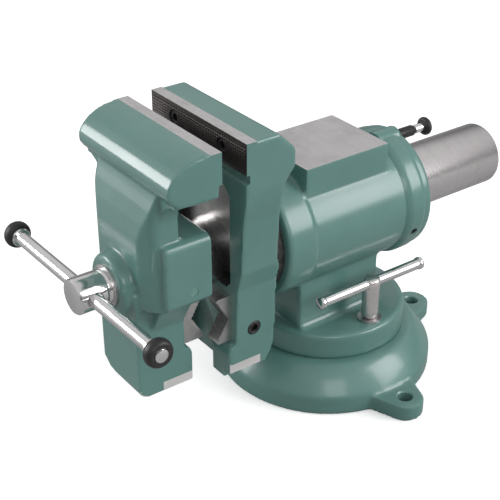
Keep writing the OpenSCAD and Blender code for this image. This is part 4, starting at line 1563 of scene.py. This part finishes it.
@dataclass
class PipeJaw:
    """Toothed V jaw below the guide tube."""

    node: str
    body: str
    back: int
    spans: tuple[Pair, ...]
    datum: Datum
    finishes: Finishes
    vee: float = 12.0
    mouth: float = 20.5
    teeth: int = 7
    bite: float = 1.1

    def _outline(self) -> list[Pair]:
        """Side view with saw teeth along both slopes of the V, as y and z.

        Returns:
            The points of the outline.
        """
        low, high = box_mm(self.node)
        face, rear = (low.y, high.y) if self.back > 0 else (high.y, low.y)
        top = high.z if self.back > 0 else 2 * self._middle() - low.z
        middle, s = self._middle(), self.back
        upper: list[Pair] = []
        for i in range(self.teeth):
            for part, lift in ((0.0, 0.0), (0.72, self.bite)):
                t = (i + part) / self.teeth
                upper.append((face + s * (t * self.vee + lift * 0.85),
                              middle + self.mouth * (1 - t) + lift * 0.3))
        lower = [(y, 2 * middle - z) for y, z in upper]
        bottom = low.z
        return ([(face + s * 1.5, top), (face, middle + self.mouth + 1)] + upper
                + [(face + s * (self.vee + 0.3), middle)] + lower[::-1]
                + [(face, middle - self.mouth - 1), (face + s * 1.5, bottom), (rear, bottom),
                   (rear, top)])

    def _middle(self) -> float:
        """Height of the V's centre."""
        low, high = box_mm("fixed_pipe_jaw")
        return (low.z + high.z) / 2

    def build(self) -> None:
        """Models the jaw and hangs it on the frame."""
        d = self.datum
        parts = [prism(self.node, Plane.SIDE, self._outline(), *span) for span in self.spans]
        obj = joined(f"{self.node}_toothed", parts)
        if self.back < 0:
            cut(obj, along_y("saddle", d.tube_r + 1.5, d.movable_face - 60,
                             d.fixed_face + 40, 0, d.axis_h, 96))
        coat(obj, self.finishes.machined)
        hand_over(obj, self.body, [self.node], 25)


# ---------------------------------------------------------------- movable jaw
@dataclass
class MovableJaw:
    """Movable jaw: broad head, narrow waist, tube boss and a lower leg."""

    datum: Datum
    finishes: Finishes
    nose: float = 51.0
    head_h: float = 39.0
    relief: float = 3.5
    throat: float = 27.0
    waist_hw: float = 46.0
    flat_hw: float = 31.0
    waist_front: float = 59.0
    leg_hw: float = 30.5
    leg_front: float = 62.5
    leg_back: float = 15.0
    toe: float = 7.5
    bottom: float = 60.0
    pad_h: float = 9.5
    pad_hw: float = 30.0
    pad_front: float = 38.5
    boss_hw: float = 53.0
    boss_top: float = 49.0
    hub_r: float = 27.0
    cove_r: float = 22.0

    def _head(self) -> bpy.types.Object:
        """Broad head with its rounded nose.

        Returns:
            The modelled solid.
        """
        f, t = self.datum.movable_face, self.datum.jaw_top
        outline = [(f - 2, t + 1), (f - 11, t + 1), (f - 18, t - 0.2), (f - 25, t - 1.2),
                   (f - 33, t - 3.6), (f - 40, t - 7.4), (f - 46, t - 12.6),
                   (f - 50, t - 18.5), (f - self.nose, t - 23.5), (f - self.nose + 0.6, t - 28),
                   (f - 47, t - 33), (f - 42, t - 36.5), (f - 36, t - self.head_h + 1),
                   (f - 30, t - self.head_h), (f - self.relief, t - self.head_h),
                   (f - self.relief, t - 30), (f - 2, t - 30)]
        return prism("head", Plane.SIDE, outline, -self.datum.jaw_hw, self.datum.jaw_hw)

    def _waist(self) -> list[bpy.types.Object]:
        """Waist, the coves under the head and the shoulders down to the leg.

        Returns:
            The modelled solids.
        """
        d = self.datum
        f, t, axis_h = d.movable_face, d.jaw_top, d.axis_h
        front = f - self.waist_front
        hw, flat = self.waist_hw, self.flat_hw
        half = [(hw, f - self.throat), (hw, front + 15)] + arc(
            hw - 12, front + 15, 12, 0, -50, 5) + [(flat + 2.0, front + 0.8), (flat - 1, front)]
        waist = prism("waist", Plane.PLAN, mirrored(half[::-1]), axis_h - 14, t - self.head_h + 6)
        combine(waist, prism("lean", Plane.SIDE, [
            (front - 1, axis_h - 20), (front - 1, t - 84), (front + 0.6, t - 74),
            (front + 3.0, t - 62), (front + 6.5, t - 50), (front + 10.5, t - 40),
            (front + 14, t - 30), (f, t - 30), (f, axis_h - 20)],
            -hw - 5, hw + 5), "INTERSECT")
        r = self.cove_r
        cove = [(hw - 3, t - self.head_h - r)] + arc(
            hw + r, t - self.head_h - r, r, 180, 90, 8) + [(hw + r, t - self.head_h + 3)]
        coves = prism("coves", Plane.FRONT, mirrored(cove), front + 15, f - self.throat)
        leg = self.leg_hw
        slope = prism("slope", Plane.FRONT, mirrored([(leg, axis_h - 40), (hw, axis_h - 13)]),
                      front + 12, f - self.leg_back)
        chest = prism("chest", Plane.FRONT,
                      mirrored([(leg, axis_h - 36), (flat, axis_h)]), front, f - self.leg_back)
        return [waist, coves, slope, chest]

    def _boss(self) -> list[bpy.types.Object]:
        """Boss round the guide tube and the round boss under the handle.

        Returns:
            The modelled solids.
        """
        d = self.datum
        f, axis_h = d.movable_face, d.axis_h
        w, top = self.boss_hw, axis_h + self.boss_top
        half = [(self.waist_hw - 4, axis_h - 17), (w - 3, axis_h - 12.5), (w, axis_h - 9),
                (w, top - 6), (w - 1.8, top - 1.8), (w - 6, top)]
        block_boss = prism("tube_boss", Plane.FRONT, mirrored(half), f - 45, f)
        hub_face = box_mm("movable_jaw")[0].y
        hub = turned("hub_boss", [(0, hub_face), (self.hub_r - 2, hub_face),
                                  (self.hub_r, hub_face + 2), (self.hub_r + 2.5, hub_face + 14),
                                  (0, hub_face + 14)], on_axis(d, 0), Axis.Y, 96)
        sleeve = along_y("sleeve", d.tube_r + 9, f - self.leg_back - 10, f - self.leg_back, 0,
                         axis_h, 96)
        return [block_boss, hub, sleeve]

    def _leg(self) -> bpy.types.Object:
        """Lower leg with a toe under the pipe jaw.

        Returns:
            The modelled solid.
        """
        d = self.datum
        f, b, hw = d.movable_face, self.bottom, self.leg_hw
        front, back = f - self.leg_front, f - self.leg_back
        low = box_mm("fixed_pipe_jaw")[0].z
        leg = prism("leg", Plane.SIDE, [
            (front, d.axis_h), (front, b + 8), (front + 2.5, b + 2.5), (front + 8, b),
            (back + self.toe, b), (back + self.toe, low - 9), (back + self.toe - 2, low - 4),
            (back, low - 1), (back, d.axis_h)], -hw, hw)
        outline = [(-hw, d.axis_h + 5), (-hw, b + 15), (-hw + 16, b + 2), (-hw + 21, b),
                   (hw, b), (hw, d.axis_h + 5)]
        combine(leg, prism("leg_front", Plane.FRONT, outline, front - 5, back + 20), "INTERSECT")
        return leg

    def build(self) -> None:
        """Models the jaw and hangs it on the frame."""
        parts = [self._leg(), self._head()] + self._waist() + self._boss()
        obj = cast("movable_jaw_casting", parts, 1.5, 4)
        self._machine(obj)
        self._dress(obj)
        hand_over(obj, "movable_jaw", ["movable_jaw"])

    def _machine(self, obj: bpy.types.Object) -> None:
        """Machined seats, bores, pads and counterbores.

        Args:
            obj: the object to work on.
        """
        d = self.datum
        f, t, axis_h = d.movable_face, d.jaw_top, d.axis_h
        tube_front = box_mm("guide_tube")[0].y
        leg_front, leg_back = f - self.leg_front, f - self.leg_back
        cut(obj, along_y("tube_bore", d.tube_r, tube_front, f + 10, 0, axis_h, 96),
            along_y("screw_bore", 11.05, leg_front - 20, tube_front + 2, 0, axis_h, 64),
            block("seat_cutter", (-90, f - d.insert_t, t - d.insert_h), (90, f + 10, t + 20)),
            block("top_cutter", (-90, f - 90, t), (90, f + 10, t + 20)),
            block("relief", (-90, f - self.relief, t - self.head_h + 1.5),
                  (90, f + 10, t - d.insert_h + 1)))
        low, high = box_mm("movable_pipe_jaw")
        cut(obj, block("pipe_pocket", (low.x - 0.1, low.y - 0.1, low.z - 0.1),
                       (high.x + 0.1, leg_back + self.toe + 5, 2 * self._pipe_z() - low.z + 0.1)))
        for side in Side:
            x0, x1 = sorted((side.value * self.pad_hw, side.value * 80.0))
            cut(obj, block("pad_cutter", (x0, f - self.pad_front, self.bottom - 5),
                           (x1, leg_back + 20, self.bottom + self.pad_h)),
                along_x("pin_drill", 4.0, *sorted((side.value * 20, side.value * 60)), f - 18,
                        axis_h, 32))
        cut(obj, block("sole_cutter", (-90, leg_front - 20, self.bottom - 9),
                       (90, leg_back + 20, self.bottom + 0.25)))

    def _pipe_z(self) -> float:
        """Height of the pipe jaws' centre."""
        low, high = box_mm("fixed_pipe_jaw")
        return (low.z + high.z) / 2

    def _dress(self, obj: bpy.types.Object) -> None:
        """Enamel all over, and bare steel where a tool has been.

        Args:
            obj: the object to work on.
        """
        d, fin = self.datum, self.finishes
        pad_top, pad = self.bottom + self.pad_h + 0.1, self.pad_hw
        coat(obj, fin.enamel)
        face_material(obj, fin.bare_edge, lambda c, n: (
            c.z < pad_top and (abs(n.x) > 0.9 and abs(abs(c.x) - pad) < 0.2
                               or n.z < -0.9 and c.z < self.bottom + 0.5)))
        tube_front = box_mm("guide_tube")[0].y - 0.2
        face_material(obj, fin.machined, lambda c, n: (
            c.y > tube_front and math.hypot(c.x, c.z - d.axis_h) < d.tube_r + 0.2))


@dataclass
class GuideTube:
    """Ground steel tube that guides the movable jaw."""

    datum: Datum
    finishes: Finishes
    wall: float = 7.0
    slot_hw: float = 7.3

    def build(self) -> None:
        """Models the tube and hangs it on the frame."""
        d = self.datum
        low, high = box_mm("guide_tube")
        r, bore = d.tube_r, d.tube_r - self.wall
        obj = turned("guide_tube_ground", [
            (bore, low.y), (r, low.y), (r, high.y - 1.4), (r - 0.5, high.y - 0.4),
            (r - 1.4, high.y), (bore + 0.8, high.y), (bore, high.y - 0.8)],
            on_axis(d, 0), Axis.Y, 128)
        cut(obj, block("key_slot", (-self.slot_hw, -45.5, d.axis_h - d.tube_r - 2),
                       (self.slot_hw, 127.5, d.axis_h - 10)))
        for side in Side:
            cut(obj, along_x("pin_drill", 4.0, *sorted((side.value * (r - 5), side.value * 60.0)),
                             d.movable_face - 18, d.axis_h, 32))
        coat(obj, self.finishes.tube)
        hand_over(obj, "movable_jaw", ["guide_tube"], 30)


# ---------------------------------------------------------------- main screw and handle
@dataclass
class MainScrew:
    """Main screw: plated hub, trapezoidal thread and a plain tail."""

    datum: Datum
    finishes: Finishes
    thread_r: float = 14.0
    root_r: float = 11.4
    lead: float = 5.0
    journal_r: float = 11.0
    tail_r: float = 7.5
    thread_y: Pair = (-64.5, 146.5)

    def _spindle(self, handle_y: float, handle_r: float) -> bpy.types.Object:
        """Hub, journal, root of the thread and tail, with the cross hole.

        Args:
            handle_y: station of the cross hole.
            handle_r: radius of the handle rod.

        Returns:
            The modelled solid.
        """
        low, high = box_mm("main_screw")
        face = box_mm("thrust_washer")[0].y
        r = (high.x - low.x) / 2
        start, end = self.thread_y
        spindle = turned("main_screw_turned", [
            (0, low.y), (r - 2.2, low.y), (r - 1.0, low.y + 0.4), (r, low.y + 1.8), (r, face - 5),
            (r - 0.4, face - 4), (r, face - 3), (r, face), (self.journal_r, face),
            (self.journal_r, start - 12), (self.root_r, start), (self.root_r, end),
            (self.tail_r, end + 2), (self.tail_r, high.y - 1), (self.tail_r - 1, high.y),
            (0, high.y)], on_axis(self.datum, 0), Axis.Y, 96)
        along = Handle.direction()
        centre = Vector(on_axis(self.datum, handle_y))
        ends = (tuple(centre - along * 30), tuple(centre + along * 30))
        cut(spindle, rod("cross_drill", handle_r + 0.05, *ends, 48))
        for sign in (-1, 1):
            out = along * sign
            cut(spindle, spun("chamfer", [(0, 14.4), (handle_r, 14.4), (handle_r + 2.4, 16.8),
                                          (0, 16.8)], tuple(centre), out,
                              Vector((0, 1, 0)), 48))
        return spindle

    def _thread(self) -> bpy.types.Object:
        """Trapezoidal thread, swept as a helix along the screw.

        Returns:
            The modelled solid.
        """
        start, end = self.thread_y
        turns = int((end - start) / self.lead)
        r, root, lead = self.thread_r, self.root_r - 0.3, self.lead
        corners = [(root, 0.0), (r, 0.25 * lead), (r, 0.62 * lead), (root, 0.88 * lead)]
        thread = chain("thread", [Vector((0, start + t, self.datum.axis_h + a)) * MM
                                  for a, t in corners])
        bpy.ops.mesh.select_all(action="SELECT")
        bpy.ops.mesh.edge_face_add()
        bpy.ops.object.mode_set(mode="OBJECT")
        only(thread)
        bpy.ops.transform.translate(value=(0, 0, -self.datum.axis_h * MM))
        bpy.ops.object.transform_apply(location=True)
        apply_modifier(thread, "SCREW", axis="Y", angle=math.tau, steps=24, render_steps=24,
                       screw_offset=lead * MM, iterations=turns, use_merge_vertices=False)
        bpy.ops.transform.translate(value=(0, 0, self.datum.axis_h * MM))
        bpy.ops.object.transform_apply(location=True)
        bpy.ops.object.mode_set(mode="EDIT")
        bpy.ops.mesh.select_all(action="SELECT")
        bpy.ops.mesh.remove_doubles(threshold=0.002 * MM)
        bpy.ops.mesh.normals_make_consistent(inside=False)
        bpy.ops.object.mode_set(mode="OBJECT")
        return thread

    def build(self) -> None:
        """Models the screw and hangs it on the frame."""
        rod_low, rod_high = box_mm("handle_rod")
        handle_y = (rod_low.y + rod_high.y) / 2
        obj = joined("main_screw_turned", [self._spindle(handle_y, Handle.rod_r), self._thread()])
        coat(obj, self.finishes.plate)
        hand_over(obj, "main_screw", ["main_screw"], 30)


@dataclass
class Handle:
    """Sliding handle of the main screw, with a rubber ring at each end."""

    datum: Datum
    finishes: Finishes
    rod_r: ClassVar[float] = 6.25
    length: float = 250.0
    shift: float = -8.0
    cap_l: float = 12.0
    cap_r: float = 12.45
    collar_l: float = 3.0
    collar_w: float = 2.5

    @staticmethod
    def direction() -> Vector:
        """Direction that the handle slides in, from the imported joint."""
        joint = next(j for j in frame["joints"] if j["name"] == "handle_slide")
        return Vector(joint["axis"]).normalized()

    def build(self) -> None:
        """Models the rod and the rings and hangs them on the frame."""
        low, high = box_mm("handle_rod")
        along, out = self.direction(), Vector((0, 1, 0))
        centre = Vector(on_axis(self.datum, (low.y + high.y) / 2)) + along * self.shift
        r, end = self.rod_r, self.length / 2
        inner = end - self.cap_l
        half = [(0, end), (r - 1.3, end), (r - 0.4, end - 0.5), (r, end - 1.6), (r, inner),
                (r + self.collar_w - 0.5, inner), (r + self.collar_w, inner - 0.5),
                (r + self.collar_w, inner - self.collar_l + 0.8),
                (r + self.collar_w - 0.8, inner - self.collar_l), (r, inner - self.collar_l)]
        other = [(a, -t) for a, t in reversed(half)]
        handle = spun("handle_rod_turned", half + other, tuple(centre), along, out, 64)
        rings = []
        for sign in (-1, 1):
            width, bulge = self.cap_l, self.cap_r - r
            shape = [(r, inner + width - 1.2), (r, inner)] + [
                (r + bulge * 0.45 + bulge * 0.55 * math.cos(a),
                 inner + width / 2 - 0.3 + (width / 2 - 0.3) * math.sin(a))
                for a in (math.radians(-90 + 15 * i) for i in range(13))]
            rings.append(spun("handle_ring", [(a, sign * t) for a, t in shape], tuple(centre),
                              along, out, 64))
        caps = joined("handle_rings", rings)
        for obj, slot, node, finish in (
                (handle, "bright_plate", "handle_rod", self.finishes.plate),
                (caps, "black_rubber", "handle_caps", self.finishes.rubber)):
            coat(obj, finish)
            hand_over(obj, "handle", [node])


@dataclass
class Internals:
    """CAD nodes that keep their shape and only get a finish."""

    finishes: Finishes

    def build(self) -> None:
        """Dresses every CAD node that still shows its own mesh."""
        fin = self.finishes
        # The thrust ring is black so the gap between the fixed jaw and the housing reads dark:
        # painted shade.
        dress = {
            "clamp_ring": fin.machined, "lock_washers": fin.machined, "thrust_ring": fin.black,
            "plunger_spring": fin.machined, "main_nut": fin.bronze, "nut_dowels": fin.machined,
            "tube_pins": fin.enamel, "tube_end_bush": fin.machined,
            "thrust_washer": fin.machined, "retaining_collar": fin.machined,
            "collar_pin": fin.machined, "collar_set_screws": fin.black}
        for node, finish in dress.items():
            coat(frame["nodes"][node], finish)
            log.info("%s keeps its CAD shape", node)


# ---------------------------------------------------------------- studio
@dataclass
class Studio:
    """Pale floor, soft light and the camera."""

    azimuth: float = 53.74
    elevation: float = 30.08
    distance: float = 1.23705
    aim: Triple = (-0.12474, 0.0, 0.0595)
    lens: float = 83.78
    floor_size: float = 60.0

    def build(self) -> None:
        """Adds everything that isn't part of the vise."""
        self._floor()
        self._sky()
        for name, place, size, power in (
                ("key", (1.45, 1.15, 1.05), 1.2, 27.0),
                ("front", (-1.4, -1.5, 0.75), 0.9, 24.0),
                ("side", (1.8, -0.9, 1.1), 0.8, 7.0)):
            self._softbox(name, Vector(place), size, power)
        self._camera()

    def _floor(self) -> None:
        """Wide pale floor with an even matt surface."""
        clear_selection()
        bpy.ops.mesh.primitive_plane_add(size=self.floor_size)
        floor = settle("studio_floor")
        finish = Finish("pale_floor")
        noise = add_node(finish.tree, "ShaderNodeTexNoise", Scale=3.0, Detail=2.0)
        finish.tree.links.new(finish.coords, noise.inputs["Vector"])
        pale = mixed(finish.tree, noise.outputs[0], rgba(0.93, 0.93, 0.93),
                     rgba(0.95, 0.95, 0.95))
        seen = finish.tree.nodes.new("ShaderNodeLightPath").outputs["Is Camera Ray"]
        finish.feed("Base Color", mixed(finish.tree, seen, rgba(0.36, 0.36, 0.36), pale))
        finish.feed("Emission Strength", sum_of(finish.tree, "MULTIPLY", seen, 0.30))
        finish.fix(Roughness=0.7, Specular_IOR_Level=0.2, Emission_Color=rgba(1.0, 1.0, 1.0))
        coat(floor, finish.material)

    def _sky(self) -> None:
        """White to the camera; to the vise, a bright room with a darker waist."""
        world = bpy.data.worlds.new("studio")
        bpy.context.scene.world = world
        world.use_nodes = True
        tree = world.node_tree
        background = tree.nodes["Background"]
        parts = add_node(tree, "ShaderNodeSeparateXYZ")
        tree.links.new(tree.nodes.new("ShaderNodeTexCoord").outputs["Generated"], parts.inputs[0])
        height = mapped(tree, parts.outputs["Z"], -1.0, 1.0, 0.0, 1.0)
        ramp = tree.nodes.new("ShaderNodeValToRGB")
        stops = ramp.color_ramp.elements
        stops[0].position, stops[0].color = 0.5, rgba(0.10, 0.10, 0.10)
        stops[1].position, stops[1].color = 1.0, rgba(0.62, 0.62, 0.62)
        for place, level in ((0.60, 0.30), (0.74, 0.70)):
            stops.new(place).color = rgba(level, level, level)
        tree.links.new(height, ramp.inputs[0])
        seen = tree.nodes.new("ShaderNodeLightPath").outputs["Is Camera Ray"]
        tree.links.new(mixed(tree, seen, ramp.outputs[0], rgba(1.1, 1.1, 1.1)),
                       background.inputs["Color"])
        background.inputs["Strength"].default_value = 1.0

    def _softbox(self, name: str, place: Vector, size: float, power: float) -> None:
        """Square area light that faces the vise.

        Args:
            name: name of the light.
            place: where it stands.
            size: its two sides.
            power: its power in watts.
        """
        light = bpy.data.lights.new(name, "AREA")
        light.size = size
        light.energy = power
        holder = bpy.data.objects.new(name, light)
        bpy.context.scene.collection.objects.link(holder)
        holder.location = place
        away = place - Vector((0, -0.05, 0.15))
        holder.rotation_euler = away.to_track_quat("Z", "Y").to_euler()

    def _camera(self) -> None:
        """Long lens from the right front, above the jaws."""
        turn, lift = math.radians(self.azimuth), math.radians(self.elevation)
        look = Vector((-math.sin(turn) * math.cos(lift), math.cos(turn) * math.cos(lift),
                       -math.sin(lift)))
        camera = bpy.data.cameras.new("camera")
        camera.lens = self.lens
        camera.clip_end = 100.0
        holder = bpy.data.objects.new("camera", camera)
        bpy.context.scene.collection.objects.link(holder)
        holder.location = Vector(self.aim) - look * self.distance
        holder.rotation_euler = look.to_track_quat("-Z", "Y").to_euler()
        bpy.context.scene.camera = holder
        bpy.context.scene.view_settings.view_transform = "Standard"


def main() -> None:
    """Builds the studio and every sub-assembly, in order."""
    logging.basicConfig(level=logging.INFO, format="%(message)s")
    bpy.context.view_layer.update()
    Studio().build()
    finishes = Finishes(Effects())
    datum = Datum.from_frame()
    BaseCasting(datum, finishes).build()
    SwivelBody(datum, finishes).build()
    for side in Side:
        SwivelLock(side, finishes).build()
    FixedJaw(datum, finishes).build()
    RearCollar(datum, finishes).build()
    HeadPlunger(finishes).build()
    MovableJaw(datum, finishes).build()
    GuideTube(datum, finishes).build()
    JawInsert("fixed_insert", "head", 1, datum, finishes).build()
    JawInsert("movable_insert", "movable_jaw", -1, datum, finishes).build()
    PipeJaw("fixed_pipe_jaw", "head", 1, ((31.5, 46.0), (-46.0, -31.5)), datum, finishes).build()
    PipeJaw("movable_pipe_jaw", "movable_jaw", -1, ((-27.0, 27.0),), datum, finishes).build()
    MainScrew(datum, finishes).build()
    Handle(datum, finishes).build()
    insert_z = datum.jaw_top - datum.insert_h / 2
    for node, body, face, into in (
            ("fixed_insert_screws", "head", datum.fixed_face, 1),
            ("movable_insert_screws", "movable_jaw", datum.movable_face, -1)):
        ScrewSet(node, body, SocketScrew(6.5, 5.5, 4.0, 24.5),
                 tuple((x, face + into * 1.5, insert_z) for x in (-35.0, 35.0)), Axis.Y,
                 (into, into), finishes).build()
    low, high = box_mm("fixed_pipe_jaw_screws")
    ScrewSet("fixed_pipe_jaw_screws", "head", SocketScrew(6.5, 6.0, 4.0, high.x - 32.0),
             tuple((x, (low.y + high.y) / 2, (low.z + high.z) / 2) for x in (high.x, low.x)),
             Axis.X, (-1, 1), finishes).build()
    low, high = box_mm("movable_pipe_jaw_screws")
    ScrewSet("movable_pipe_jaw_screws", "movable_jaw",
             SocketScrew(6.5, 6.0, 4.0, high.y - low.y),
             tuple((0.0, low.y, z) for z in (low.z + 6.5, high.z - 6.5)),
             Axis.Y, (1, 1), finishes).build()
    Internals(finishes).build()


if __name__ == "__main__":
    main()
